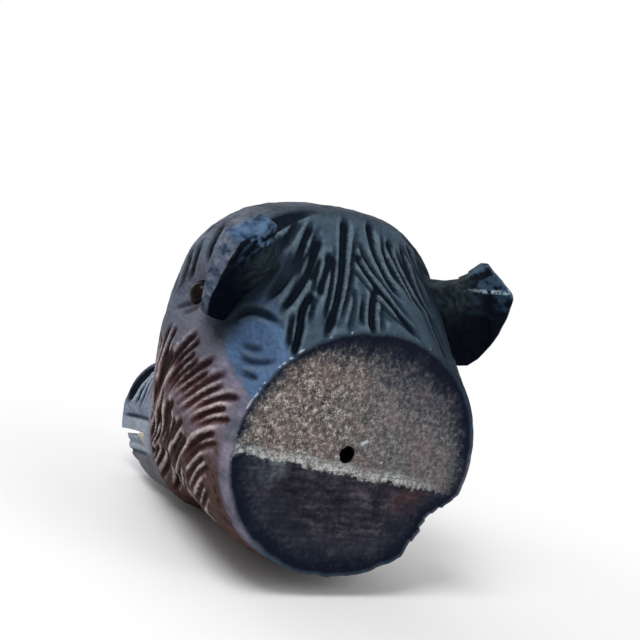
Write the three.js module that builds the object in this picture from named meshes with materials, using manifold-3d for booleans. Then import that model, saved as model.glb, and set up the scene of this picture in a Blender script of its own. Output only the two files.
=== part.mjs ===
// Carved boar head, a small wall ornament of stained wood, in millimetres.
// The origin is the centre of the saw cut behind the neck. +Y leaves that cut, the snout
// points along -Y, +Z is up and the boar's left side is +X.
import * as THREE from "three";
import { mergeVertices } from "three/addons/utils/BufferGeometryUtils.js";
import Module from "manifold-3d";

const wasm = await Module();
wasm.setup();
const degrees = THREE.MathUtils.degToRad;
const { lerp, clamp } = THREE.MathUtils;

// Sections of the head, from the saw cut to the snout
const NECK_WIDTH = 70;
const NECK_HEIGHT = 60;
const NAPE_WIDTH = 72;
const NAPE_TOP = 44;
const NAPE_WIDEST = 3;
const CROWN_WIDTH = 73;
const CROWN_TOP = 55.2;
const CROWN_WIDEST = 12;
const CHEEK_WIDTH = 72;
const BROW_TOP = 55;
const CHEEK_WIDEST = 21;
const FACE_WIDTH = 63;
const FACE_TOP = 50;
const FACE_WIDEST = 12;
const RUFF_WIDTH = 51;
const RUFF_TOP = 38;
const RUFF_WIDEST = 0;
const MUZZLE_WIDTH = 43;
const MUZZLE_TOP = 21;
const MUZZLE_WIDEST = -10;
const BRIDGE_WIDTH = 38;
const BRIDGE_TOP = 7;
const BRIDGE_WIDEST = -16;
const COLLAR_WIDTH = 35.5;
const COLLAR_TOP = 0;
const SNOUT_WIDTH = 38;
const SNOUT_TOP = -0.5;
const SNOUT_WIDEST = -18;
const THROAT_DROP = 32;
const JAW_DROP = 35;
const CHIN_DROP = 33.8;

// How much fuller the right shoulder is than the left, at the nape, crown, brow and face
const NAPE_SWAY = 1;
const CROWN_SWAY = 2.8;
const BROW_SWAY = 2.4;
const FACE_SWAY = 1;

// Steps from one section to the next, and how far the sections lean back at the top
const NAPE_STEP = 14;
const CROWN_STEP = 16;
const BROW_STEP = 15;
const FACE_STEP = 9;
const RUFF_STEP = 8;
const MUZZLE_STEP = 9;
const BRIDGE_STEP = 9;
const COLLAR_STEP = 9;
const SNOUT_STEP = 5;
const MUZZLE_LEAN = 0.08;
const BRIDGE_LEAN = 0.2;
const SNOUT_LEAN = 0.32;

// Joint between the upper and the lower billet, and the mouth sawn along it
const JOINT_DROP = 4.5;
const JOINT_SLOPE = degrees(12);
const GLUE_LINE = 0.2;
const MOUTH_LENGTH = 22;
const MOUTH_GAP = 1.2;
const JAW_SET_BACK = 2.6;

// Screw hole in the back, a little to the boar's left of the middle
const SCREW_HOLE = 4.2;
const SCREW_DEPTH = 16;
const SCREW_SIDE = 4;

// Piece broken out of the rim of the lower billet, on the boar's right
const CHIP_ANGLE = degrees(214);
const CHIP_RADIUS = 30;
const CHIP_DEPTH = 4;

// Eyes of glass on wire shanks
const EYE_BEHIND_BROW = 8.5;
const EYE_HEIGHT = 27.5;
const EYE_DIAMETER = 6.5;
const EYE_PROUD = 2.6;
const EYE_CLEARANCE = 0.2;
const EYE_HOLLOW = 3.6;
const EYE_HOLLOW_REACH = 7.5;
const SHANK_DIAMETER = 1.2;
const SHANK_LENGTH = 7;
const SHANK_IN_EYE = 1.4;
const SHANK_CLEARANCE = 0.12;

// Ears: broad blunt flaps, seated on the side of the nape
const EAR_BEHIND_CROWN = 10.1;
const EAR_ANGLE = degrees(40.2);
const EAR_REACH = 11.6;
const EAR_FACING = new THREE.Vector3(0.447, -0.817, 0.364);
const EAR_DOWN = new THREE.Vector3(0.35, -0.215, -0.91);
const EAR_HALF_HEIGHT = 13.7;
const EAR_TIP_OUT = 7.6;
const EAR_TIP_HEIGHT = 5.6;
const EAR_SWELL = 3;
const EAR_SWELL_IN = 0.8;
const EAR_LOBE_OUT = 2.4;
const EAR_LOBE_IN = 2;
const EAR_TUCK = 3;
const EAR_NOTCH = 7.2;
const EAR_BOW = 1;
const EAR_BOW_IN = 8;
const EAR_ROOT_DEPTH = 7;
const EAR_THICKNESS = 5.6;
const EAR_THINNING = 0.8;
const EAR_THIN_ABOVE = 2;
const EAR_ROUND = 1;
const EAR_CUP_DOWN = -3;
const EAR_CUP_OUT = -2;
const EAR_CUP_HEIGHT = 17.4;
const EAR_CUP_WIDTH = 12.2;
const EAR_CUP_DEPTH = 1.2;
const EAR_SCOOP_DOWN = 4.5;
const EAR_SCOOP_OUT = -3;
const EAR_SCOOP_HEIGHT = 18.4;
const EAR_SCOOP_WIDTH = 13.2;
const EAR_SCOOP_DEPTH = 1.1;
const LEFT_EAR_TIP_DROP = 1.6;
const RIGHT_EAR_TIP_DROP = -1.6;
const LEFT_EAR_FLARE = 9.5;
const RIGHT_EAR_FLARE = 2.6;
const EAR_GLUE = 0.25;
const DOWEL_DIAMETER = 2.4;
const DOWEL_RISE = 2;
const DOWEL_SET_BACK = 0.5;
const DOWEL_IN_SKULL = 8;
const DOWEL_IN_EAR = 6.5;
const DOWEL_CLEARANCE = 0.12;

// Tusks lying along the lower lip
const TUSK_DIAMETER = 3;
const TUSK_POINT = 0.9;
const TUSK_TAPER = 1.6;
const TUSK_LENGTH = 14;
const TUSK_IN_JAW = 6;
const TUSK_BEHIND_SNOUT = 20;
const TUSK_ROOT = new THREE.Vector3(-0.35, 0.7, -0.5);
const TUSK_BURY = 0.7;
const TUSK_DROP = 0.6;
const TUSK_CLEARANCE = 0.15;

// Nostrils in the flat end of the snout
const NOSTRIL_DIAMETER = 5;
const NOSTRIL_DEPTH = 5;
const NOSTRIL_SIDE = 6.2;
const NOSTRIL_RISE = 9;

// Cuts of the mane, each from the crest, past a middle place, to its end. A place is a share of
// the way from the saw cut to the crown, and degrees round the head from the boar's left.
const MANE_CUTS = [
  { from: [0.93, 69], past: [0.74, 55.5], to: [0.6, 44], width: 3, depth: 0.9 },
  { from: [0.87, 73.5], past: [0.56, 57], to: [0.44, 39], width: 3.2, depth: 1.1 },
  { from: [0.72, 73], past: [0.45, 59.5], to: [0.3, 42.5], width: 3.2, depth: 1.1 },
  { from: [0.57, 74], past: [0.42, 67.7], to: [0.25, 61.5], width: 2.8, depth: 1 },
  { from: [0.32, 60], past: [0.2, 51.5], to: [-0.03, 42], width: 3.2, depth: 1.2 },
  { from: [0.95, 87.5], past: [0.4, 75.3], to: [-0.03, 55], width: 3.4, depth: 1.3 },
  { from: [0.95, 94], past: [0.55, 92], to: [0.23, 99.5], width: 3, depth: 1.1 },
  { from: [0.58, 87.2], past: [0.32, 87.3], to: [-0.03, 110], width: 2.8, depth: 1 },
  { from: [0.78, 101], past: [0.52, 101.7], to: [0.2, 112.5], width: 3, depth: 1.2 },
  { from: [0.8, 106.5], past: [0.5, 109], to: [0.17, 121], width: 2.8, depth: 0.9 },
  { from: [0.83, 112], past: [0.68, 115], to: [0.43, 129], width: 3, depth: 1.1 },
  { from: [0.3, 87.5], past: [0.15, 83.8], to: [-0.03, 79], width: 3.4, depth: 1.1 },
  { from: [0.9, 50], past: [0.95, 63], to: [0.91, 78], width: 4.2, depth: 1.7 },
  { from: [0.9, 130], past: [0.95, 117], to: [0.91, 102], width: 4.2, depth: 1.7 },
];

// Tufts of the cheek ruff. Each row starts further forwards, and its tufts step down from the
// height of its first one. A tuft starts nearly level and falls faster as it goes.
const TUFT_ROW_TOPS = [9.6, 15.8, 17.5, 17, 19.5];
const TUFTS_PER_ROW = 8;
const TUFT_FIRST = 1.5;
const TUFT_SPACING = 10.5;
const TUFT_SLANT = 0.5;
const TUFT_LEVEL = 10;
const TUFT_STEP = 4.1;
const TUFT_REACH = 24;
const TUFT_SHORTENING = 0.27;
const TUFT_SLOPE = 0.1;
const TUFT_STEEPENING = 0.012;
const TUFT_FALL = 0.015;
const TUFT_FALL_GAIN = 0.0009;
const TUFT_LOWEST = -29;
const TUFT_WIDTH = 4.2;
const TUFT_DEPTH = 1.2;
const TUFT_SHORTEST = 7;

// Fineness of the surfaces
const HEAD_SIDES = 56;
const RINGS_PER_STEP = 3;
const EAR_STEPS = 5;
const HOLLOW_SIDES = 14;
const HOLLOW_RINGS = 10;
const ROUND_SIDES = 20;
const EYE_RINGS = 12;
const SHANK_SIDES = 12;
const TUSK_SIDES = 14;
const TUSK_RINGS = 10;
const CHIP_SIDES = 26;
const CHIP_RINGS = 18;
const CUT_STEPS = 4;
const CUT_FULLNESS = 0.6;
const CUT_LIFT = 0.05;
const SMALL = 0.05;
const BIG = 400;

// Each section is two half superellipses that meet at its widest height. A larger upper or
// lower power makes that half squarer.
const stations = {
  neck: {
    step: 0, width: NECK_WIDTH, top: NECK_HEIGHT / 2, bottom: NECK_HEIGHT / 2,
    widest: 0, upper: 2, lower: 2, lean: 0, sway: 0,
  },
  nape: {
    step: NAPE_STEP, width: NAPE_WIDTH, top: NAPE_TOP, bottom: THROAT_DROP,
    widest: NAPE_WIDEST, upper: 2.2, lower: 2.1, lean: 0, sway: NAPE_SWAY,
  },
  crown: {
    step: CROWN_STEP, width: CROWN_WIDTH, top: CROWN_TOP, bottom: THROAT_DROP,
    widest: CROWN_WIDEST, upper: 2.6, lower: 2.2, lean: 0, sway: CROWN_SWAY,
  },
  brow: {
    step: BROW_STEP, width: CHEEK_WIDTH, top: BROW_TOP, bottom: THROAT_DROP,
    widest: CHEEK_WIDEST, upper: 2.6, lower: 2.2, lean: 0, sway: BROW_SWAY,
  },
  face: {
    step: FACE_STEP, width: FACE_WIDTH, top: FACE_TOP, bottom: JAW_DROP,
    widest: FACE_WIDEST, upper: 2.5, lower: 2.3, lean: 0, sway: FACE_SWAY,
  },
  ruff: {
    step: RUFF_STEP, width: RUFF_WIDTH, top: RUFF_TOP, bottom: JAW_DROP,
    widest: RUFF_WIDEST, upper: 2.4, lower: 2.5, lean: 0, sway: 0,
  },
  muzzle: {
    step: MUZZLE_STEP, width: MUZZLE_WIDTH, top: MUZZLE_TOP, bottom: JAW_DROP,
    widest: MUZZLE_WIDEST, upper: 2.2, lower: 3.1, lean: MUZZLE_LEAN, sway: 0,
  },
  bridge: {
    step: BRIDGE_STEP, width: BRIDGE_WIDTH, top: BRIDGE_TOP, bottom: JAW_DROP,
    widest: BRIDGE_WIDEST, upper: 2.1, lower: 3.4, lean: BRIDGE_LEAN, sway: 0,
  },
  collar: {
    step: COLLAR_STEP, width: COLLAR_WIDTH, top: COLLAR_TOP, bottom: CHIN_DROP,
    widest: SNOUT_WIDEST, upper: 2, lower: 3.4, lean: SNOUT_LEAN, sway: 0,
  },
  snout: {
    step: SNOUT_STEP, width: SNOUT_WIDTH, top: SNOUT_TOP, bottom: CHIN_DROP,
    widest: SNOUT_WIDEST, upper: 2, lower: 3.4, lean: SNOUT_LEAN, sway: 0,
  },
};

const stationList = Object.values(stations);
let reached = 0;
for (const station of stationList) {
  reached += station.step;
  station.forward = reached;
}
const HEAD_LENGTH = reached;

function stationCurve(pick) {
  return new THREE.CatmullRomCurve3(stationList.map(pick), false, "catmullrom", 0.5);
}

const heights = stationCurve((s) => new THREE.Vector3(s.forward, s.top, -s.bottom));
const girths = stationCurve((s) => new THREE.Vector3(s.width / 2, s.widest, s.lean));
const powers = stationCurve((s) => new THREE.Vector3(s.upper, s.lower, s.sway));

// One point of the plain head: along runs from 0 at the saw cut to 1 at the snout, and the
// angle turns from the boar's left over the crown.
function section(along, angle) {
  const height = heights.getPoint(along);
  const girth = girths.getPoint(along);
  const power = powers.getPoint(along);
  const c = Math.cos(angle);
  const s = Math.sin(angle);
  const bend = s >= 0 ? power.x : power.y;
  const rise = s >= 0 ? height.y - girth.y : girth.y - height.z;
  const across = Math.sign(c) * Math.pow(Math.abs(c), 2 / bend);
  const up = Math.sign(s) * Math.pow(Math.abs(s), 2 / bend);
  const x = girth.x * across;
  const z = girth.y + rise * up;
  const out = new THREE.Vector3(across / girth.x, 0, up / rise).normalize();
  const point = new THREE.Vector3(x, -height.x - girth.z * (z - girth.y), z);
  const fuller = -power.z * across * Math.pow(Math.max(up, 0), 2);
  return { point: point.addScaledVector(out, fuller), out };
}

function bisect(low, high, below) {
  let a = low;
  let b = high;
  for (let i = 0; i < 40; i += 1) {
    const middle = (a + b) / 2;
    if (below(middle)) {
      a = middle;
    } else {
      b = middle;
    }
  }
  return (a + b) / 2;
}

function alongAt(forward) {
  return bisect(0, 1, (t) => heights.getPoint(t).x < forward);
}

function angleAt(along, height) {
  return bisect(-Math.PI / 2, Math.PI / 2, (a) => section(along, a).point.z < height);
}

// The skin of the head, with the hollow that the carver cut around each eye
const eyeAlong = alongAt(stations.brow.forward - EYE_BEHIND_BROW);
const eyeAngle = angleAt(eyeAlong, EYE_HEIGHT);
const eyeMiddle = section(eyeAlong, eyeAngle).point;

function skin(along, angle, extra = 0) {
  const { point, out } = section(along, angle);
  const near = new THREE.Vector3(Math.abs(point.x), point.y, point.z).distanceTo(eyeMiddle);
  const hollow = EYE_HOLLOW * Math.exp(-Math.pow(near / EYE_HOLLOW_REACH, 2));
  return point.addScaledVector(out, extra - hollow);
}

function skinNormal(along, angle) {
  const d = 0.002;
  const a = skin(along + d, angle).sub(skin(along - d, angle));
  const b = skin(along, angle + d).sub(skin(along, angle - d));
  return b.cross(a).normalize();
}

// Solids from three.js geometry
function joined(geometry) {
  const plain = geometry.clone();
  plain.deleteAttribute("normal");
  plain.deleteAttribute("uv");
  return mergeVertices(plain, 1e-4);
}

function solid(geometry) {
  const merged = joined(geometry);
  return new wasm.Manifold(
    new wasm.Mesh({
      numProp: 3,
      vertProperties: new Float32Array(merged.attributes.position.array),
      triVerts: new Uint32Array(merged.index.array),
    }),
  );
}

// A cylinder whose points are placed by their share of the length, angle and share of the radius
function shaped(sides, rings, place) {
  const geometry = new THREE.CylinderGeometry(1, 1, 1, sides, rings);
  const position = geometry.attributes.position;
  for (let i = 0; i < position.count; i += 1) {
    const x = position.getX(i);
    const z = position.getZ(i);
    const at = place(position.getY(i) + 0.5, Math.atan2(z, x), Math.min(1, Math.hypot(x, z)));
    position.setXYZ(i, at.x, at.y, at.z);
  }
  return geometry;
}

function mirrored(geometry) {
  const copy = joined(geometry);
  copy.scale(-1, 1, 1);
  const index = copy.index.array;
  for (let i = 0; i < index.length; i += 3) {
    const first = index[i];
    index[i] = index[i + 2];
    index[i + 2] = first;
  }
  return copy;
}

function pushed(point, direction, distance) {
  return point.clone().addScaledVector(direction, distance);
}

// A round bar from one point to another
function bar(from, to, diameter, sides = ROUND_SIDES) {
  const length = from.distanceTo(to);
  const geometry = new THREE.CylinderGeometry(diameter / 2, diameter / 2, length, sides);
  const ahead = to.clone().sub(from).normalize();
  geometry.applyQuaternion(new THREE.Quaternion().setFromUnitVectors(new THREE.Vector3(0, 1, 0), ahead));
  const middle = from.clone().lerp(to, 0.5);
  geometry.translate(middle.x, middle.y, middle.z);
  return geometry;
}

// A V-shaped cut along a path on the skin, tapering out at both ends
function gouge(path, width, depth) {
  const points = [];
  for (let i = 0; i <= CUT_STEPS; i += 1) {
    const { forward, angle } = path(i / CUT_STEPS);
    const along = alongAt(Math.max(forward, SMALL));
    const point = skin(along, angle);
    point.y -= Math.min(forward, 0);
    const size = Math.max(SMALL, Math.pow(Math.sin((Math.PI * i) / CUT_STEPS), CUT_FULLNESS));
    points.push({ point, normal: skinNormal(Math.max(along, 0.01), angle), size });
  }
  return shaped(4, CUT_STEPS, (t, angle, radius) => {
    const i = Math.round(t * CUT_STEPS);
    const { point, normal, size } = points[i];
    const before = points[Math.max(i - 1, 0)].point;
    const ahead = points[Math.min(i + 1, CUT_STEPS)].point.clone().sub(before);
    const side = ahead.cross(normal).normalize();
    const across = (Math.cos(angle) * width * size * radius) / 2;
    const lift = Math.sin(angle) > 0.5 ? depth : Math.sin(angle) * depth * size;
    return pushed(pushed(point, side, across), normal, lift * radius + CUT_LIFT);
  });
}

function headForm(extra) {
  const rings = (stationList.length - 1) * RINGS_PER_STEP;
  return shaped(HEAD_SIDES, rings, (t, angle, radius) => {
    const along = 1 - t;
    const middle = new THREE.Vector3(0, -heights.getPoint(along).x, girths.getPoint(along).y);
    return middle.lerp(skin(along, angle, extra), radius);
  });
}

// The joint plane falls towards the snout
function jointHeight(forward) {
  return -JOINT_DROP - forward * Math.tan(JOINT_SLOPE);
}

function jointSlab(low, high, start, end) {
  const slab = new THREE.BoxGeometry(BIG, end - start, high - low);
  slab.translate(0, -(start + end) / 2, (low + high) / 2);
  slab.rotateX(JOINT_SLOPE);
  slab.translate(0, 0, -JOINT_DROP);
  return solid(slab);
}

const head = solid(headForm(0));
const mouthStart = (HEAD_LENGTH - MOUTH_LENGTH) / Math.cos(JOINT_SLOPE);
const mouth = jointSlab(-MOUTH_GAP / 2, MOUTH_GAP / 2, mouthStart, BIG);
let skull = head.intersect(jointSlab(GLUE_LINE / 2, BIG, -BIG, BIG)).subtract(mouth);
let jaw = head.intersect(jointSlab(-BIG, -GLUE_LINE / 2, -BIG, BIG)).subtract(mouth);

// The lower jaw ends behind the flat of the snout
const noseDirection = new THREE.Vector3(0, -1, -SNOUT_LEAN).normalize();
const noseMiddle = new THREE.Vector3(0, -HEAD_LENGTH, SNOUT_WIDEST);
const chinCut = bar(
  pushed(noseMiddle, noseDirection, -JAW_SET_BACK),
  pushed(noseMiddle, noseDirection, BIG),
  BIG,
);
jaw = jaw.subtract(solid(chinCut));

// Screw hole
const screwMouth = new THREE.Vector3(SCREW_SIDE, 1, 0);
const screwEnd = new THREE.Vector3(SCREW_SIDE, -SCREW_DEPTH, 0);
skull = skull.subtract(solid(bar(screwMouth, screwEnd, SCREW_HOLE)));

// Broken rim
const chip = new THREE.SphereGeometry(CHIP_RADIUS, CHIP_SIDES, CHIP_RINGS);
const chipMiddle = pushed(skin(0, CHIP_ANGLE), section(0, CHIP_ANGLE).out, CHIP_RADIUS - CHIP_DEPTH);
chip.translate(chipMiddle.x, chipMiddle.y, chipMiddle.z);
jaw = jaw.subtract(solid(chip));

// Ears: their axes run down the ear, out from the head and the way that its front faces
const earFace = EAR_FACING.clone().normalize();
const earOut = earFace.clone().cross(EAR_DOWN).normalize();
const earDown = earOut.clone().cross(earFace).normalize();
const earRoot = skin(alongAt(stations.crown.forward - EAR_BEHIND_CROWN), EAR_ANGLE);
const earMiddle = pushed(earRoot, earOut, EAR_REACH);
const earBasis = new THREE.Matrix4().makeBasis(earDown, earOut, earFace).setPosition(earMiddle);
const earInside = -EAR_REACH - EAR_ROOT_DEPTH;

function earForm(tipDrop, flare) {
  const top = -EAR_HALF_HEIGHT;
  const low = EAR_HALF_HEIGHT;
  const outline = new THREE.Shape();
  outline.moveTo(top + flare, earInside);
  outline.quadraticCurveTo(top + EAR_NOTCH, -EAR_BOW_IN, top + tipDrop, 0);
  outline.lineTo(-EAR_TIP_HEIGHT + tipDrop, EAR_TIP_OUT);
  outline.bezierCurveTo(
    EAR_SWELL, EAR_TIP_OUT - EAR_SWELL_IN,
    low - EAR_TUCK, EAR_LOBE_OUT,
    low, -EAR_LOBE_IN,
  );
  outline.quadraticCurveTo(low + EAR_BOW, -EAR_BOW_IN, low - EAR_TUCK, earInside);
  outline.closePath();
  const geometry = new THREE.ExtrudeGeometry(outline, {
    depth: EAR_THICKNESS - 2 * EAR_ROUND,
    curveSegments: EAR_STEPS,
    bevelEnabled: true,
    bevelThickness: EAR_ROUND,
    bevelSize: EAR_ROUND,
    bevelOffset: -EAR_ROUND,
    bevelSegments: 2,
  });
  geometry.translate(0, 0, EAR_ROUND - EAR_THICKNESS / 2);
  const position = geometry.attributes.position;
  for (let i = 0; i < position.count; i += 1) {
    const lowness = clamp((position.getX(i) + EAR_THIN_ABOVE) / EAR_HALF_HEIGHT, 0, 1);
    if (position.getZ(i) > 0) {
      position.setZ(i, position.getZ(i) * (1 - EAR_THINNING * lowness));
    }
  }
  geometry.applyMatrix4(earBasis);
  return geometry;
}

// A shallow hollow in the front of the ear, and a longer one low on its back
function earHollow(down, out, height, width, depth, facing) {
  const geometry = new THREE.SphereGeometry(1, HOLLOW_SIDES, HOLLOW_RINGS);
  geometry.scale(height / 2, width / 2, depth);
  geometry.translate(down, out, (facing * EAR_THICKNESS) / 2);
  geometry.applyMatrix4(earBasis);
  return geometry;
}

const earCup = earHollow(EAR_CUP_DOWN, EAR_CUP_OUT, EAR_CUP_HEIGHT, EAR_CUP_WIDTH, EAR_CUP_DEPTH, 1);
const earScoop = earHollow(
  EAR_SCOOP_DOWN, EAR_SCOOP_OUT, EAR_SCOOP_HEIGHT, EAR_SCOOP_WIDTH, EAR_SCOOP_DEPTH, -1,
);

// Dowels across the ears' seats
const dowelLine = pushed(pushed(earMiddle, earDown, -DOWEL_RISE), earFace, -DOWEL_SET_BACK);
const dowelEntry = bisect(earInside, EAR_TIP_OUT, (out) => {
  const at = pushed(dowelLine, earOut, out);
  const along = alongAt(-at.y);
  return at.x < skin(along, angleAt(along, at.z)).x;
});
const dowelSeat = pushed(dowelLine, earOut, dowelEntry);
const dowelInner = pushed(dowelSeat, earOut, -DOWEL_IN_SKULL);
const dowelOuter = pushed(dowelSeat, earOut, DOWEL_IN_EAR);
const dowel = bar(dowelInner, dowelOuter, DOWEL_DIAMETER);
const dowelHole = bar(
  pushed(dowelInner, earOut, -DOWEL_CLEARANCE),
  pushed(dowelOuter, earOut, DOWEL_CLEARANCE),
  DOWEL_DIAMETER + 2 * DOWEL_CLEARANCE,
);

// Mane
const cuts = [];
for (const { from, past, to, width, depth } of MANE_CUTS) {
  const start = new THREE.Vector2(...from);
  const end = new THREE.Vector2(...to);
  const bend = new THREE.Vector2(...past).multiplyScalar(2).sub(start.clone().lerp(end, 0.5));
  const line = new THREE.QuadraticBezierCurve(start, bend, end);
  const path = (t) => {
    const place = line.getPoint(t);
    return { forward: place.x * stations.crown.forward, angle: degrees(place.y) };
  };
  cuts.push(gouge(path, width, depth));
}

// Cheek ruff, with every second row set down by half a step
TUFT_ROW_TOPS.forEach((top, row) => {
  for (let i = 0; i < TUFTS_PER_ROW; i += 1) {
    const level = top - (i + 0.5 * (row % 2)) * TUFT_STEP;
    const start = TUFT_FIRST + row * TUFT_SPACING + TUFT_SLANT * (TUFT_LEVEL - level);
    const slope = TUFT_SLOPE + TUFT_STEEPENING * start;
    const fall = TUFT_FALL + TUFT_FALL_GAIN * start;
    const heightAfter = (d) => level - slope * d - fall * d * d;
    const whole = TUFT_REACH - TUFT_SHORTENING * start;
    const reach = bisect(0, whole, (d) => heightAfter(d) > TUFT_LOWEST);
    if (reach < TUFT_SHORTEST) {
      continue;
    }
    const path = (t) => {
      const forward = start + reach * t;
      return { forward, angle: angleAt(alongAt(forward), heightAfter(reach * t)) };
    };
    const tuft = gouge(path, TUFT_WIDTH, TUFT_DEPTH);
    cuts.push(tuft, mirrored(tuft));
  }
});

// Nostrils, square to the leaning end of the snout
const nostrilMiddle = new THREE.Vector3(
  NOSTRIL_SIDE,
  noseMiddle.y - SNOUT_LEAN * NOSTRIL_RISE,
  noseMiddle.z + NOSTRIL_RISE,
);
const nostril = bar(
  pushed(nostrilMiddle, noseDirection, NOSTRIL_DEPTH),
  pushed(nostrilMiddle, noseDirection, -NOSTRIL_DEPTH),
  NOSTRIL_DIAMETER,
);

// Eyes and their shanks
const eyeNormal = skinNormal(eyeAlong, eyeAngle);
const eyeCentre = pushed(skin(eyeAlong, eyeAngle), eyeNormal, EYE_PROUD - EYE_DIAMETER / 2);

function ball(diameter) {
  const geometry = new THREE.SphereGeometry(diameter / 2, ROUND_SIDES, EYE_RINGS);
  geometry.translate(eyeCentre.x, eyeCentre.y, eyeCentre.z);
  return geometry;
}

const shankOuter = pushed(eyeCentre, eyeNormal, SHANK_IN_EYE - EYE_DIAMETER / 2);
const shankInner = pushed(shankOuter, eyeNormal, -SHANK_LENGTH);
const shank = bar(shankInner, shankOuter, SHANK_DIAMETER, SHANK_SIDES);
const shankHole = bar(
  pushed(shankInner, eyeNormal, -SHANK_CLEARANCE),
  pushed(shankOuter, eyeNormal, SHANK_CLEARANCE),
  SHANK_DIAMETER + 2 * SHANK_CLEARANCE,
  SHANK_SIDES,
);

// Tusks, following the lip from a root in the lower jaw
function lipPoint(forward) {
  const along = alongAt(forward);
  const lip = skin(along, angleAt(along, jointHeight(forward) - MOUTH_GAP / 2));
  return new THREE.Vector3(lip.x - TUSK_BURY, lip.y, jointHeight(-lip.y) - TUSK_DROP);
}

const tuskForward = HEAD_LENGTH - TUSK_BEHIND_SNOUT;
const tuskStart = lipPoint(tuskForward);
const tuskEnd = lipPoint(tuskForward + TUSK_LENGTH - TUSK_IN_JAW);
const tuskRoot = pushed(tuskStart, TUSK_ROOT, TUSK_IN_JAW);
const tuskPath = new THREE.CatmullRomCurve3([tuskRoot, tuskStart, tuskEnd]);

function tuskForm(grow) {
  return shaped(TUSK_SIDES, TUSK_RINGS, (t, angle, radius) => {
    const ahead = tuskPath.getTangentAt(t);
    const side = ahead.clone().cross(new THREE.Vector3(0, 0, 1)).normalize();
    const up = side.clone().cross(ahead).normalize();
    const diameter = lerp(TUSK_DIAMETER, TUSK_POINT, Math.pow(t, TUSK_TAPER));
    const reach = (diameter / 2 + grow) * radius;
    const end = t < 0.5 ? -grow : grow;
    const middle = pushed(tuskPath.getPointAt(t), ahead, radius === 0 ? 0 : end);
    return pushed(pushed(middle, side, Math.cos(angle) * reach), up, Math.sin(angle) * reach);
  });
}

const sides = [
  { name: "left", turn: (geometry) => geometry, tipDrop: LEFT_EAR_TIP_DROP, flare: LEFT_EAR_FLARE },
  { name: "right", turn: mirrored, tipDrop: RIGHT_EAR_TIP_DROP, flare: RIGHT_EAR_FLARE },
];

// The carving stops at the seats of the ears
for (const cut of cuts) {
  let body = solid(cut);
  for (const { turn, tipDrop, flare } of sides) {
    body = body.subtract(solid(turn(earForm(tipDrop, flare))));
  }
  skull = skull.subtract(body);
  jaw = jaw.subtract(body);
}

const group = new THREE.Group();
group.name = "carved_boar_head";

function addMesh(name, body, look) {
  const mesh = body.getMesh();
  const geometry = new THREE.BufferGeometry();
  const points = new Float32Array(mesh.vertProperties);
  geometry.setAttribute("position", new THREE.BufferAttribute(points, 3));
  geometry.setIndex(new THREE.BufferAttribute(new Uint32Array(mesh.triVerts), 1));
  geometry.computeVertexNormals();
  const node = new THREE.Mesh(geometry, new THREE.MeshStandardMaterial(look));
  node.name = name;
  group.add(node);
}

const STAINED_WOOD = { color: 0x3a2d27, roughness: 0.6, metalness: 0 };
const STAINED_EAR = { color: 0x23201f, roughness: 0.6, metalness: 0 };
const BARE_WOOD = { color: 0xb89468, roughness: 0.8, metalness: 0 };
const DARK_GLASS = { color: 0x1c1408, roughness: 0.08, metalness: 0 };
const WIRE = { color: 0x6b6560, roughness: 0.4, metalness: 1 };
const BONE = { color: 0xd8c9a6, roughness: 0.45, metalness: 0 };

const grownHead = solid(headForm(EAR_GLUE));
for (const { name, turn, tipDrop, flare } of sides) {
  const eyeSocket = solid(turn(ball(EYE_DIAMETER + 2 * EYE_CLEARANCE)));
  const shankSocket = solid(turn(shankHole));
  const dowelSocket = solid(turn(dowelHole));
  const tuskSocket = solid(turn(tuskForm(TUSK_CLEARANCE)));
  skull = skull.subtract(eyeSocket).subtract(shankSocket).subtract(dowelSocket);
  skull = skull.subtract(solid(turn(nostril))).subtract(tuskSocket);
  jaw = jaw.subtract(tuskSocket);
  let ear = solid(turn(earForm(tipDrop, flare))).subtract(grownHead).subtract(dowelSocket);
  ear = ear.subtract(solid(turn(earCup))).subtract(solid(turn(earScoop)));
  addMesh(name + "_ear", ear, STAINED_EAR);
  addMesh(name + "_ear_dowel", solid(turn(dowel)), BARE_WOOD);
  addMesh(name + "_eye", solid(turn(ball(EYE_DIAMETER))).subtract(shankSocket), DARK_GLASS);
  addMesh(name + "_eye_shank", solid(turn(shank)), WIRE);
  addMesh(name + "_tusk", solid(turn(tuskForm(0))), BONE);
}
addMesh("skull_block", skull, STAINED_WOOD);
addMesh("jaw_block", jaw, STAINED_WOOD);

export default group;
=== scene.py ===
import math

import bmesh
import bpy
import numpy as np
from mathutils import Matrix, Vector
from mathutils.bvhtree import BVHTree


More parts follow.
